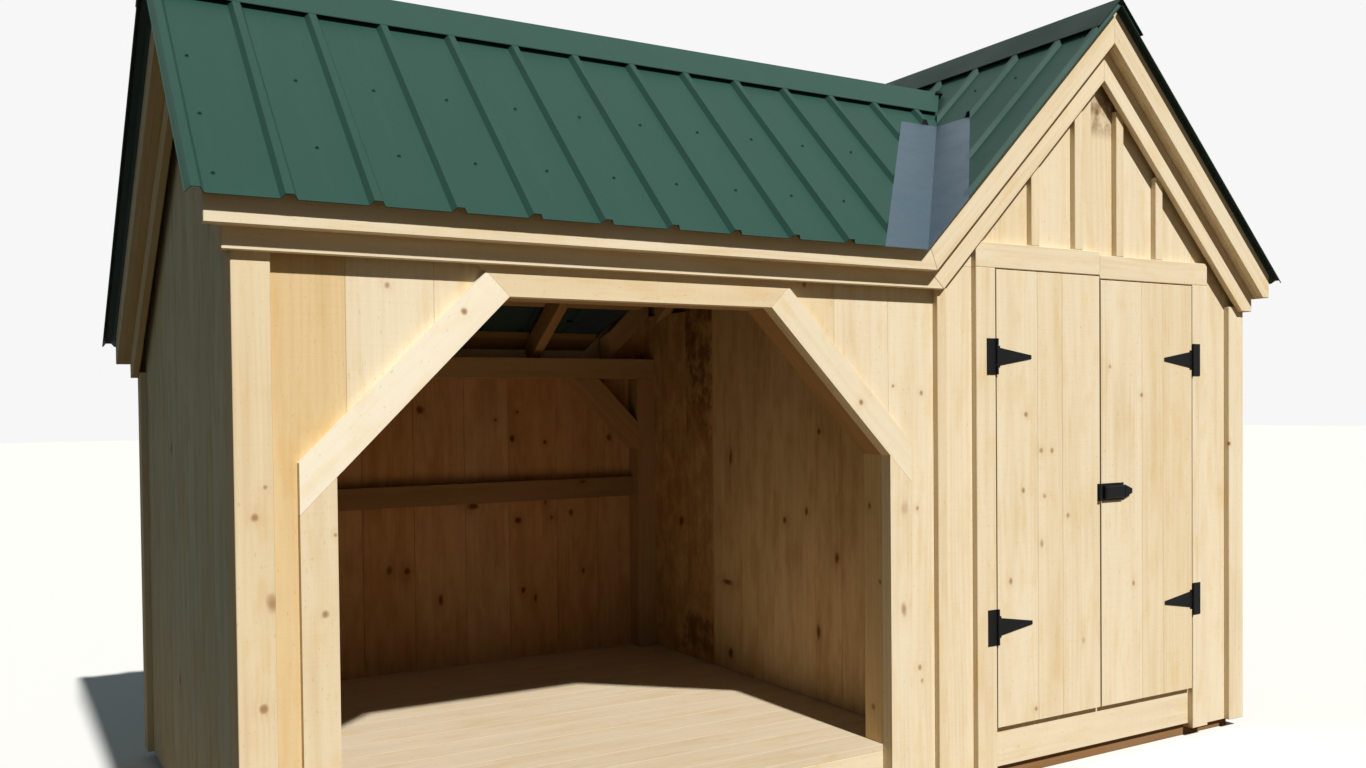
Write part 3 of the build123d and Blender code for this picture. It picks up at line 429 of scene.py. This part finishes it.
DOOR_KNOTS = [(x, CASING_FACE, FLOOR + up, *size) for x, up, *size in (
    (2905, 1187, 10, 10, 0.60),
    (2988, 1045, 11, 12, 0.49),
    (3048, 1044, 10, 12, 0.49),
    (2889, 894, 10, 12, 0.60),
    (3006, 866, 9, 10, 0.45),
    (3138, 783, 11, 12, 0.45),
    (2990, 680, 12, 21, 0.45),
    (2819, 548, 11, 14, 0.52),
    (2954, 36, 10, 10, 0.52),
    (3226, 275, 11, 16, 0.30),
    (3582, 1259, 10, 10, 0.60),
    (3388, 1376, 9, 9, 0.45),
    (3529, 480, 10, 13, 0.52),
)]
REAR_KNOTS = [(x, REAR_FACE, FLOOR + up, *size) for x, up, *size in (
    (1201, 1226, 18, 20, 0.9),
    (1692, 1211, 8, 8, 0.9),
    (1577, 1175, 9, 9, 0.8),
    (1664, 1081, 12, 17, 1.0),
    (1838, 1060, 10, 11, 0.9),
    (2196, 1075, 12, 18, 0.8),
    (1458, 760, 28, 16, 1.0),
    (1690, 678, 16, 16, 1.0),
    (1870, 682, 11, 12, 0.8),
    (1976, 703, 14, 20, 0.8),
    (2335, 592, 9, 14, 0.9),
    (1046, 484, 14, 22, 0.7),
    (1129, 472, 16, 18, 0.9),
    (1290, 322, 12, 26, 0.9),
    (1712, 332, 12, 16, 1.0),
    (1777, 286, 8, 20, 0.8),
    (2042, 402, 10, 16, 0.9),
)]
PARTITION_KNOTS = [(PARTITION_FACE, y, FLOOR + up, *size) for y, up, *size in (
    (911, 735, 14, 18, 0.9),
    (755, 784, 12, 18, 0.8),
    (548, 611, 15, 22, 0.9),
    (663, 1123, 11, 13, 0.8),
    (675, 288, 14, 38, 0.9),
    (1333, 995, 14, 40, 0.8),
    (1788, 661, 20, 24, 0.9),
    (2089, 550, 18, 24, 0.9),
    (1370, 409, 40, 13, 0.9),
    (1349, 79, 20, 24, 0.9),
)]
POST_KNOTS = [(BAY_RIGHT, y, FLOOR + up, *size) for y, up, *size in (
    (117, 862, 12, 14, 0.6),
    (60, 589, 9, 10, 0.5),
    (103, 125, 12, 13, 0.6),
)]

# Darker patches seen in the photo: middle in x, y, z, half sizes in x, y, z, darkness
GABLE_PATCHES = [(3378, SIDING_FACE, FLOOR + 2420, 72, 40, 120, 0.95)]
PARTITION_PATCHES = [
    (PARTITION_FACE, 1611, 1960, 60, 125, 700, 0.95),
    # Painted shade over the rear part of the partition, towards the rear corner
    (PARTITION_FACE, 1818, 1100, 60, 332, 1500, 0.45),
    # Painted shade at the foot of the partition, in the rear corner
    (PARTITION_FACE, 1650, FLOOR + 130, 60, 150, 110, 0.80),
]

# Boards whose tone stands out in the photo: a place inside the board, with its height above the
# floor, and the tone. Below 0 is freshly sawn, 0 is pale, and 1 or more is dark.
IN_CASING = BOARD / 2
IN_SIDING = BOARD * 3 / 2
IN_PARTITION = PARTITION_FACE + 10
SEEN_TONES = [(x, y, FLOOR + up, tone) for x, y, up, tone in (
    (560, IN_CASING, 1400, -1.0),
    (200, IN_SIDING, 700, 1.40),
    (400, IN_SIDING, 1500, 0.25),
    (50, IN_CASING, 800, 0.85),
    (275, IN_CASING, 300, 0.80),
    (2100, IN_CASING, 1250, 0.15),
    (2860, IN_CASING, 400, 0.35),
    (3040, IN_CASING, 400, 0.60),
    (3220, IN_CASING, 400, 0.40),
    (3450, IN_CASING, 400, 0.25),
    (3650, IN_CASING, 400, 0.65),
    (3800, IN_CASING, 400, 0.70),
    (IN_PARTITION, 200, 700, 0.60),
    (IN_PARTITION, 400, 700, 0.35),
    (IN_PARTITION, 640, 700, 0.40),
    (IN_PARTITION, 880, 700, 0.00),
    (IN_PARTITION, 1120, 700, 0.30),
    (IN_PARTITION, 1360, 700, 0.55),
    # The three rear boards of the partition are given dark tones as painted shade towards the rear corner
    (IN_PARTITION, 1610, 700, 1.45),
    (IN_PARTITION, 1860, 700, 1.50),
    (IN_PARTITION, 2060, 700, 1.55),
)]

# The end walls' wood carries painted shade: greyer and darker than the front
pine = wood("rough_pine", END_WALL_SHADE_PALE, END_WALL_SHADE_DEEP, 0.35, spread=1.2, mottling=0.22)
front_pine = wood("front_pine", PALE, DEEP, 0.10, FRONT_KNOTS, GABLE_PATCHES)
door_pine = wood("door_pine", PALE, DEEP, 0.06, DOOR_KNOTS)
trim_pine = wood("trim_pine", PALE, DEEP, 0.18)
floor_pine = wood("floor_pine", FLOOR_PALE, FLOOR_DEEP, 0.15, spread=0.4)
# The wood inside the bay, the framing and the girts and skids take browner, darker colours: painted shade
rear_pine = wood("rear_pine", REAR_PALE, REAR_DEEP, 0.30, REAR_KNOTS,
                 spread=1.2, mottling=0.36, back=REAR_FACE + 3)
partition_pine = wood("partition_pine", SIDE_PALE, SIDE_DEEP, 0.30, PARTITION_KNOTS,
                      PARTITION_PATCHES, spread=1.2, mottling=0.36)
framing = wood("framing_pine", FRAMING_PALE, FRAMING_DEEP, 0.5)
painted_shade_pine = wood("painted_shade_pine", DARK_PALE, DARK_DEEP, 0.4)
# The front posts: lighter than the framing and browner than the front, painted light and shade
post_pine = wood("post_pine", POST_PALE, POST_DEEP, 0.3, POST_KNOTS)
roofing = coated_metal("green_roofing", rgb(0.019, 0.060, 0.047), rgb(0.028, 0.072, 0.058), 0.52)
# The shed's ridge cap: a darker green than the roof, painted shade
painted_shade_cap = coated_metal("shed_cap_painted_shade", rgb(0.008, 0.024, 0.019), rgb(0.012, 0.029, 0.023), 0.52)
# The flashing's dark blue tint is a painted reflection of blue sky
flashing = bare_metal("bare_flashing", rgb(0.092, 0.140, 0.180), rgb(0.062, 0.100, 0.132), 0.42)
hardware = black_metal("black_hardware")
washer_green = coated_metal("screw_washers", rgb(0.011, 0.034, 0.027), rgb(0.016, 0.042, 0.034), 0.7)
foam = coated_metal("closure_foam", rgb(0.010, 0.012, 0.011), rgb(0.016, 0.018, 0.016), 0.9)


# Boards and timbers, made from the CAD solids
GRAIN = {"x": Vector((1, 0, 0)), "y": Vector((0, 1, 0)), "z": Vector((0, 0, 1))}


def solid_of(node):
    shape = bmesh.new()
    shape.from_mesh(nodes[node].data)
    bmesh.ops.remove_doubles(shape, verts=shape.verts, dist=2e-5)
    bmesh.ops.dissolve_limit(shape, angle_limit=math.radians(0.6), verts=shape.verts,
                             edges=shape.edges, use_dissolve_boundaries=False)
    return shape


def keep_between(shape, axis, low, high):
    """A copy of the solid, cut square to an axis at low and high, with closed cut faces."""
    cut = shape.copy()
    for place, direction in ((low, -1.0), (high, 1.0)):
        if place is None:
            continue
        geometry = list(cut.verts) + list(cut.edges) + list(cut.faces)
        bmesh.ops.bisect_plane(cut, geom=geometry, dist=1e-6, plane_co=GRAIN[axis] * place,
                               plane_no=GRAIN[axis] * direction, clear_outer=True)
        open_edges = [e for e in cut.edges if e.is_boundary]
        if open_edges:
            bmesh.ops.holes_fill(cut, edges=open_edges, sides=0)
    return cut


def merge(shapes):
    whole = bmesh.new()
    for shape in shapes:
        spare = bpy.data.meshes.new("spare")
        shape.to_mesh(spare)
        shape.free()
        whole.from_mesh(spare)
        bpy.data.meshes.remove(spare)
    return whole


def boards(shape, axis, seams, gap):
    """Cuts a wall, floor or door leaf into boards at the seams."""
    edges = [None] + list(seams) + [None]
    made = []
    for low, high in zip(edges[:-1], edges[1:]):
        low = None if low is None else low + gap / 2
        high = None if high is None else high - gap / 2
        part = keep_between(shape, axis, low, high)
        if len(part.verts):
            made.append(part)
        else:
            part.free()
    shape.free()
    return merge(made)


def islands(shape):
    """The groups of corners that edges join: one group for each board or timber."""
    found = []
    seen = set()
    for first in shape.verts:
        if first.index in seen:
            continue
        group = []
        stack = [first]
        seen.add(first.index)
        while stack:
            vert = stack.pop()
            group.append(vert)
            for edge in vert.link_edges:
                other = edge.other_vert(vert)
                if other.index not in seen:
                    seen.add(other.index)
                    stack.append(other)
        found.append(group)
    return found


def tone_of(group):
    """A random tone, or the one seen in the photo."""
    tone = dice.random()
    low = [min(v.co[k] for v in group) for k in range(3)]
    high = [max(v.co[k] for v in group) for k in range(3)]
    for x, y, z, seen in SEEN_TONES:
        if all(a <= b <= c for a, b, c in zip(low, at(x, y, z), high)):
            tone = seen
    return tone


def lay_grain(shape, grain):
    """Gives each board its place along the grain, with the pith at a random side of it.

    Edges and faces are taken in the order of the mesh, so that each run picks the same ones.
    """
    place_layer = shape.verts.layers.float_vector.new("board_place")
    tone_layer = shape.verts.layers.float.new("board_tone")
    shape.verts.index_update()
    shape.edges.index_update()
    shape.faces.index_update()
    for group in islands(shape):
        edges = sorted({e for v in group for e in v.link_edges}, key=lambda e: e.index)
        longest = max(edges, key=lambda e: round(e.calc_length(), 5))
        along = GRAIN[grain] if grain else (longest.verts[1].co - longest.verts[0].co).normalized()
        faces = sorted({f for v in group for f in v.link_faces}, key=lambda f: f.index)
        sides = [f for f in faces if abs(f.normal.dot(along)) < 0.4]
        widest = max(sides or faces, key=lambda f: round(f.calc_area(), 6))
        out = widest.normal - along * widest.normal.dot(along)
        out.normalize()
        directions = (along, out.cross(along), out)
        shifts = (
            dice.uniform(-60, 60),
            dice.uniform(-0.07, 0.07),
            dice.choice((-1, 1)) * dice.uniform(0.03, 0.11),
        )
        starts = []
        for direction, shift in zip(directions, shifts):
            values = [v.co.dot(direction) for v in group]
            starts.append(shift - (min(values) + max(values)) / 2)
        tone = tone_of(group)
        for v in group:
            v[place_layer] = Vector([v.co.dot(d) + start for d, start in zip(directions, starts)])
            v[tone_layer] = tone


def link_piece(shape, name, material):
    bmesh.ops.recalc_face_normals(shape, faces=shape.faces)
    mesh = bpy.data.meshes.new(name)
    shape.to_mesh(mesh)
    shape.free()
    mesh.materials.append(material)
    piece = bpy.data.objects.new(name, mesh)
    bpy.context.scene.collection.objects.link(piece)
    return piece


def wooden_piece(shape, name, material, body, replaced, grain, soften):
    """A piece of boards or timbers. Soften is the width of its worn edges, in metres."""
    lay_grain(shape, grain)
    piece = link_piece(shape, name, material)
    edge = piece.modifiers.new("sawn_edge", "BEVEL")
    edge.width = soften
    edge.segments = 1
    edge.limit_method = "ANGLE"
    edge.angle_limit = math.radians(25)
    edge.harden_normals = False
    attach(piece, body)
    if replaced:
        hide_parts(*replaced)


def metal_piece(shape, name, material, body):
    piece = link_piece(shape, name, material)
    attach(piece, body)


def rows(first, pitch, last):
    """Places from first, at the pitch, that come before last."""
    found = []
    while first < last:
        found.append(first)
        first += pitch
    return found


def bay_plate():
    """The front wall round the bay as one plate, so that its boards run on past the opening's corners."""
    left = BOARD
    right = 2472.0
    foot = 40.0
    top = 1955.0
    head = BAY_SHOULDER + BAY_CORNER
    outline = (
        (left, foot),
        (left, top),
        (right, top),
        (right, foot),
        (BAY_RIGHT, foot),
        (BAY_RIGHT, BAY_SHOULDER),
        (BAY_RIGHT - BAY_CORNER, head),
        (BAY_LEFT + BAY_CORNER, head),
        (BAY_LEFT, BAY_SHOULDER),
        (BAY_LEFT, foot),
    )
    plate = bmesh.new()
    front = [plate.verts.new(at(x, SIDING_FACE, z)) for x, z in outline]
    back = [plate.verts.new(at(x, SIDING_BACK, z)) for x, z in outline]
    plate.faces.new(front)
    plate.faces.new(back[::-1])
    for k in range(len(outline)):
        n = (k + 1) % len(outline)
        plate.faces.new((front[n], front[k], back[k], back[n]))
    return plate


# Seams between the boards, where the photo shows them, and at an even pitch elsewhere
WALL_PITCH = 243
FLOOR_PITCH = 146
GABLE_PITCH = 245
BAY_SEAMS = [302, 554, 797, 1040, 1283, 1526, 1769, 1993, 2236]
SIDE_SEAMS = rows(262, WALL_PITCH, 2140)
REAR_SEAMS = [194, 437, 680, 923, 1166, 1417, 1643, 1899, 2127, 2370] + rows(2613, WALL_PITCH, 4200)
PARTITION_SEAMS = [276, 519, 760, 997, 1239, 1486, 1736, 1979]
FLOOR_SEAMS = rows(196, FLOOR_PITCH, 2140)
GABLE_SEAMS = [GABLE_X + GABLE_PITCH * (k + 0.5) for k in range(-4, 4)]
DOOR_SEAMS = {"left": (2970, 3108), "right": (3585, 3720)}

# Gaps at the seams and softened edges, in metres: close on the sunny front and floor, wider elsewhere
CLOSE_GAP = 0.0005
WIDE_GAP = 0.0010
DOOR_GAP = 0.0006
CRISP_EDGE = 0.0010
DOOR_EDGE = 0.0012
BOARD_EDGE = 0.0018
TIMBER_EDGE = 0.0020

WALLS = (
    ("front_bay_wall", "x", x_at(BAY_SEAMS), "z", front_pine),
    ("front_shed_wall", "x", x_at(GABLE_SEAMS), "z", front_pine),
    ("left_wall", "y", y_at(SIDE_SEAMS), "z", pine),
    ("right_wall", "y", y_at(SIDE_SEAMS), "z", pine),
    ("rear_wall", "x", x_at(REAR_SEAMS), "z", rear_pine),
    ("partition_wall", "y", y_at(PARTITION_SEAMS), "z", partition_pine),
    ("floor_boards", "y", y_at(FLOOR_SEAMS), "x", floor_pine),
)
for node, axis, seams, grain, material in WALLS:
    whole = bay_plate() if node == "front_bay_wall" else solid_of(node)
    sunny = node.startswith(("front", "floor"))
    cut = boards(whole, axis, seams, CLOSE_GAP if sunny else WIDE_GAP)
    edge = CRISP_EDGE if sunny else BOARD_EDGE
    wooden_piece(cut, node + "_boards", material, "building", [node], grain, edge)

# Trim and casings. Where no grain is named, it runs along the longest edge of each board.
TRIM = (
    ("corner_boards", "z", front_pine),
    ("bay_casings", None, front_pine),
    ("door_casings", None, front_pine),
    ("door_apron", "x", trim_pine),
    ("gable_battens", "z", trim_pine),
    ("floor_frame", None, trim_pine),
    ("front_trim_outer", None, trim_pine),
    ("front_trim_inner", None, trim_pine),
    ("side_trim_outer", None, trim_pine),
    ("side_trim_inner", None, trim_pine),
    ("rear_trim_outer", None, trim_pine),
    ("rear_trim_inner", None, trim_pine),
    ("roof_edge_blocking", None, trim_pine),
)
for node, grain, material in TRIM:
    wooden_piece(solid_of(node), node + "_timber", material, "building", [node], grain, BOARD_EDGE)

# Framing timbers, in browner, darker colours that paint the shade inside the building; the girts and
# skids darker still, also painted shade
FRAMING = {
    painted_shade_pine: ("girts", "skids"),
    framing: ("beams_and_plates", "knee_braces", "main_rafters", "shed_rafters", "ridge_boards",
              "main_purlins", "shed_purlins"),
}
for material, names in FRAMING.items():
    for node in names:
        wooden_piece(solid_of(node), node + "_timber", material, "building", [node], None, TIMBER_EDGE)

# Posts: the front ones, by the opening, paler than the rear ones, painted light and shade
posts = solid_of("posts")
front_posts = keep_between(posts, "y", None, 0.0)
rear_posts = keep_between(posts, "y", 0.0, None)
posts.free()
wooden_piece(front_posts, "front_posts_timber", post_pine, "building", ["posts"], "z", TIMBER_EDGE)
wooden_piece(rear_posts, "rear_posts_timber", framing, "building", [], "z", TIMBER_EDGE)

# Doors, each of three boards nailed to three ledges
LEDGE_FACE = y_at([BOARD])[0]
LEDGE_GAP = 0.0001
for side, seams in DOOR_SEAMS.items():
    leaf = solid_of(side + "_door")
    skin = keep_between(leaf, "y", None, LEDGE_FACE - LEDGE_GAP)
    ledges = keep_between(leaf, "y", LEDGE_FACE + LEDGE_GAP, None)
    leaf.free()
    skin = boards(skin, "x", x_at(seams), DOOR_GAP)
    wooden_piece(skin, side + "_door_boards", door_pine, side + "_leaf", [side + "_door"], "z",
                 DOOR_EDGE)
    wooden_piece(ledges, side + "_door_ledges", trim_pine, side + "_leaf", [], "x", TIMBER_EDGE)

# Metal keeps its CAD shape and takes a better finish; the shed's ridge cap takes a darker green, painted
# shade
FINISHES = {
    roofing: ("main_roof_front", "main_roof_rear", "shed_roof_left", "shed_roof_right",
              "main_ridge_cap"),
    painted_shade_cap: ("shed_ridge_cap",),
    flashing: ("valley_flashing",),
    hardware: ("hinge_butts", "left_hinge_straps", "right_hinge_straps", "latch", "latch_keeper"),
}
for material, names in FINISHES.items():
    for name in names:
        nodes[name].data.materials.clear()
        nodes[name].data.materials.append(material)


# Roof planes, as heights over the ground
def front_roof(y):
    return ROOF_AT_FRONT + y


def rear_roof(y):
    return front_roof(RIDGE_Y) - (y - RIDGE_Y) * REAR_SLOPE


def main_roof(y):
    return front_roof(y) if y < RIDGE_Y else rear_roof(y)


def shed_roof(x):
    return SHED_PEAK - abs(x - GABLE_X)


def valley_x(z):
    """Where the left side of the shed's roof comes down to the height z."""
    return GABLE_X - (SHED_PEAK - z)


FRONT_NORMAL = Vector((0, -1, 1))
REAR_NORMAL = Vector((0, REAR_SLOPE, 1))
LEFT_NORMAL = Vector((-1, 0, 1))
RIGHT_NORMAL = Vector((1, 0, 1))


# Roofing screws, as joined meshes of hexagon heads over round washers
def disc(shape, centre, normal, radius, height, sides, top_share):
    """A low post with its foot left open, narrower at the top by the given share."""
    side = normal.orthogonal().normalized()
    other = normal.cross(side)
    low = []
    high = []
    for k in range(sides):
        turn = 2 * math.pi * k / sides
        spoke = side * math.cos(turn) + other * math.sin(turn)
        low.append(shape.verts.new(centre + spoke * radius))
        high.append(shape.verts.new(centre + spoke * radius * top_share + normal * height))
    for k in range(sides):
        n = (k + 1) % sides
        shape.faces.new((low[k], low[n], high[n], high[k]))
    shape.faces.new(high)


# Washer and heads of the screws, in metres: radius, height, sides and share at the top
WASHER = (0.0062, 0.0018, 14, 0.85)
ROOF_SCREW_HEAD = (0.0040, 0.0034, 6, 0.92)
HINGE_SCREW_HEAD = (0.0042, 0.0012, 14, 0.6)
WASHER_TOP = 0.0016
SHEET_LIFT = 0.002

# Places of the roofing screws
VALLEY_CLEARANCE = 225.0
SHED_CLEARANCE = 215.0
EDGE_PAN_ROWS = (-49.0, 143.0, 350.0)
PAN_ROWS = (66.0, 307.0)
REAR_ROWS = (860.0, 1160.0, 1460.0, 1760.0, 2060.0)
SHED_ROWS = (240.0, 520.0, 800.0)
EDGE_PAN = -46.0
MAIN_PANS = [MAIN_RIB + RIB_PITCH * (k + 0.5) for k in range(12)]
SHED_PANS = [SHED_RIB + RIB_PITCH * (k + 0.5) for k in range(SHED_RIB_COUNT)]
LAST_SCREW_Y = DEPTH + 60.0
screws = bmesh.new()
washers = bmesh.new()


def roof_screw(x, y, z, normal):
    normal = normal.normalized()
    base = at(x, y, z) + normal * SHEET_LIFT
    disc(washers, base, normal, *WASHER)
    disc(screws, base + normal * WASHER_TOP, normal, *ROOF_SCREW_HEAD)


for x in [EDGE_PAN] + MAIN_PANS:
    for y in EDGE_PAN_ROWS if x == EDGE_PAN else PAN_ROWS:
        if x < valley_x(front_roof(y)) - VALLEY_CLEARANCE:
            roof_screw(x, y, front_roof(y), FRONT_NORMAL)
    for y in REAR_ROWS:
        if x < valley_x(rear_roof(y)) - VALLEY_CLEARANCE:
            roof_screw(x, y, rear_roof(y), REAR_NORMAL)
for y in SHED_PANS:
    for offset in SHED_ROWS:
        height = SHED_PEAK - offset
        if y < LAST_SCREW_Y:
            roof_screw(GABLE_X + offset, y, height, RIGHT_NORMAL)
        if height > main_roof(y) + SHED_CLEARANCE:
            roof_screw(GABLE_X - offset, y, height, LEFT_NORMAL)
metal_piece(screws, "roof_screw_heads", washer_green, "building")
metal_piece(washers, "roof_screw_washers", washer_green, "building")


# Foam closures inside the ribs, where the valleys cut the sheets
RIB_SECTION = ((-0.0205, 0.0006), (0.0205, 0.0006), (0.0098, 0.0165), (-0.0098, 0.0165))
CUT_MARGIN = 0.002
PLUG_LENGTH = 0.024
closures = bmesh.new()


def closure(x, y, z, uphill, out, cut):
    """A plug of foam that fills a rib. Its low end follows the cut, a plane through x, y, z."""
    uphill = uphill.normalized()
    out = out.normalized()
    side = uphill.cross(out)
    start = at(x, y, z)
    corners = []
    for across, lift in RIB_SECTION:
        offset = side * across + out * lift
        corners.append((offset, CUT_MARGIN - cut.dot(offset) / cut.dot(uphill)))
    deepest = max(run for offset, run in corners) + PLUG_LENGTH
    low = [closures.verts.new(start + offset + uphill * run) for offset, run in corners]
    high = [closures.verts.new(start + offset + uphill * deepest) for offset, run in corners]
    for k in range(4):
        n = (k + 1) % 4
        closures.faces.new((low[k], low[n], high[n], high[k]))
    closures.faces.new(low)
    closures.faces.new(high)


# The valleys run down from a squared step at the top of the main roof
VALLEY_TOP = FLOOR + 2404.0
VALLEY_WIDTH = 195.0
RIDGE_END = valley_x(front_roof(RIDGE_Y))
STEP_X = valley_x(VALLEY_TOP)
FRONT_STEP_Y = VALLEY_TOP - front_roof(0.0)
REAR_STEP_Y = RIDGE_Y + (front_roof(RIDGE_Y) - VALLEY_TOP) / REAR_SLOPE
FRONT_CUT = Vector((1, -1, 0))
REAR_CUT = Vector((1, REAR_SLOPE, 0))
SQUARE_X = Vector((1, 0, 0))
SQUARE_Y = Vector((0, 1, 0))
FRONT_UPHILL = Vector((0, 1, 1))
REAR_UPHILL = Vector((0, -1 / REAR_SLOPE, 1))
SHED_UPHILL = Vector((1, 0, 1))
for k in range(MAIN_RIB_COUNT):
    x = MAIN_RIB + RIB_PITCH * k
    stepped = STEP_X - VALLEY_WIDTH < x < STEP_X
    back = VALLEY_WIDTH if x < STEP_X - VALLEY_WIDTH else 0.0
    front_y = FRONT_STEP_Y if stepped else x + back - valley_x(front_roof(0.0))
    rear_y = REAR_STEP_Y if stepped else RIDGE_Y + (RIDGE_END - x - back) / REAR_SLOPE
    if front_y > FRONT_SHEET_END:
        cut = SQUARE_Y if stepped else FRONT_CUT
        closure(x, front_y, front_roof(front_y), FRONT_UPHILL, FRONT_NORMAL, cut)
    if rear_y < REAR_SHEET_END:
        cut = SQUARE_Y if stepped else REAR_CUT
        closure(x, rear_y, rear_roof(rear_y), REAR_UPHILL, REAR_NORMAL, cut)
shed_ribs = [SHED_RIB + RIB_PITCH * k for k in range(SHED_RIB_COUNT)]
for y in [-EDGE_RIB] + shed_ribs + [DEPTH + EDGE_RIB]:
    front = y < RIDGE_Y
    near = FRONT_STEP_Y - VALLEY_WIDTH if front else REAR_STEP_Y + VALLEY_WIDTH / REAR_SLOPE
    step = FRONT_STEP_Y if front else REAR_STEP_Y
    stepped = min(near, step) < y < max(near, step)
    outside = y < near if front else y > near
    x = STEP_X if stepped else valley_x(main_roof(y)) + (VALLEY_WIDTH if outside else 0.0)
    cut = SQUARE_X if stepped else FRONT_CUT if front else REAR_CUT
    closure(x, y, shed_roof(x), SHED_UPHILL, LEFT_NORMAL, cut)
metal_piece(closures, "rib_closures", foam, "building")


# Hinge screws, placed from the left door's pins and mirrored for the right door
PIN_X = 2747.5
HINGE_HEIGHTS = (FLOOR + 378.0, FLOOR + 1409.0)
BUTT_SCREWS = ((-15, 52), (-37, 52), (-15, -52), (-37, -52))
STRAP_SCREWS = ((28, 18), (28, -18), (95, 0), (165, 0))
HARDWARE_FACE = -3.0


def hinge_screws(name, body, places, mirror):
    heads = bmesh.new()
    for z in HINGE_HEIGHTS:
        for dx, dz in places:
            x = GABLE_X + mirror * (PIN_X + dx - GABLE_X)
            disc(heads, at(x, HARDWARE_FACE, z + dz), Vector((0, -1, 0)), *HINGE_SCREW_HEAD)
    metal_piece(heads, name, hardware, body)


hinge_screws("left_butt_screws", "building", BUTT_SCREWS, 1)
hinge_screws("right_butt_screws", "building", BUTT_SCREWS, -1)
hinge_screws("left_strap_screws", "left_leaf", STRAP_SCREWS, 1)
hinge_screws("right_strap_screws", "right_leaf", STRAP_SCREWS, -1)

# Camera, where the photo was taken
camera_data = bpy.data.cameras.new("camera")
camera = bpy.data.objects.new("camera", camera_data)
bpy.context.scene.collection.objects.link(camera)
camera.location = (-2.6852, -4.3220, 1.4603)
camera.rotation_euler = (1.55056713, 0.01023436, -0.53612519)
camera_data.sensor_width = 36.0
camera_data.lens = 30.91
camera_data.shift_y = 0.0331
camera_data.clip_start = 0.05
camera_data.clip_end = 200.0
bpy.context.scene.camera = camera

# Sun from the front, as in the photo
sun_data = bpy.data.lights.new("sun", "SUN")
sun_data.energy = 4.5
sun_data.angle = math.radians(1.5)
sun_data.color = (1.0, 0.975, 0.93)
sun = bpy.data.objects.new("sun", sun_data)
bpy.context.scene.collection.objects.link(sun)
sun.rotation_euler = Vector((-0.012, 1.0, -1.04)).to_track_quat("-Z", "Y").to_euler()

# Soft blue light from the sky, which itself is seen as white
world = bpy.data.worlds.new("sky")
bpy.context.scene.world = world
world.use_nodes = True
sky = Nodes(world.node_tree)
fill_light = sky.add("Background")
fill_light.inputs["Color"].default_value = rgb(0.72, 0.94, 1.0)
fill_light.inputs["Strength"].default_value = 0.105
seen_light = sky.add("Background")
seen_light.inputs["Color"].default_value = rgb(0.93, 0.93, 0.93)
seen_light.inputs["Strength"].default_value = 1.0
chooser = sky.add("MixShader")
sky.join(sky.seen(), chooser.inputs[0])
sky.join(fill_light.outputs[0], chooser.inputs[1])
sky.join(seen_light.outputs[0], chooser.inputs[2])
sky.join(chooser.outputs[0], sky.add("OutputWorld").inputs["Surface"])

# Floor seen as white. The light that it throws back is that of earth, and darker at the left,
# where the photo has shaded ground.
GROUND_SIZE = 60.0
ground_shape = bmesh.new()
bmesh.ops.create_grid(ground_shape, x_segments=1, y_segments=1, size=GROUND_SIZE)
ground_mesh = bpy.data.meshes.new("ground")
ground_shape.to_mesh(ground_mesh)
ground_shape.free()
ground = bpy.data.objects.new("ground", ground_mesh)
bpy.context.scene.collection.objects.link(ground)
g = Shade("pale_floor")
ground_x = g.parts(g.add("TexCoord").outputs["Object"])[0]
beyond_left = g.step(ground_x, at(-900, 0, 0).x, at(-200, 0, 0).x, 1.0, 0.0)
earth = g.mix(beyond_left, rgb(0.155, 0.098, 0.044), rgb(0.036, 0.030, 0.015))
g.set("Base Color", g.mix(g.seen(), earth, rgb(0.90, 0.90, 0.89)))
g.set("Roughness", 0.9)
g.set("Specular IOR Level", 0.1)
ground_mesh.materials.append(g.material)
ground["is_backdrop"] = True

# Bounds of the CAD model and of the dressed model, each made into a line of text that is not used
end_low, end_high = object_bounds()
for label, low, high in (("cad", start_low, start_high), ("dressed", end_low, end_high)):
    label + " " + " ".join("%.4f" % v for v in (*low, *high)) + "\n"
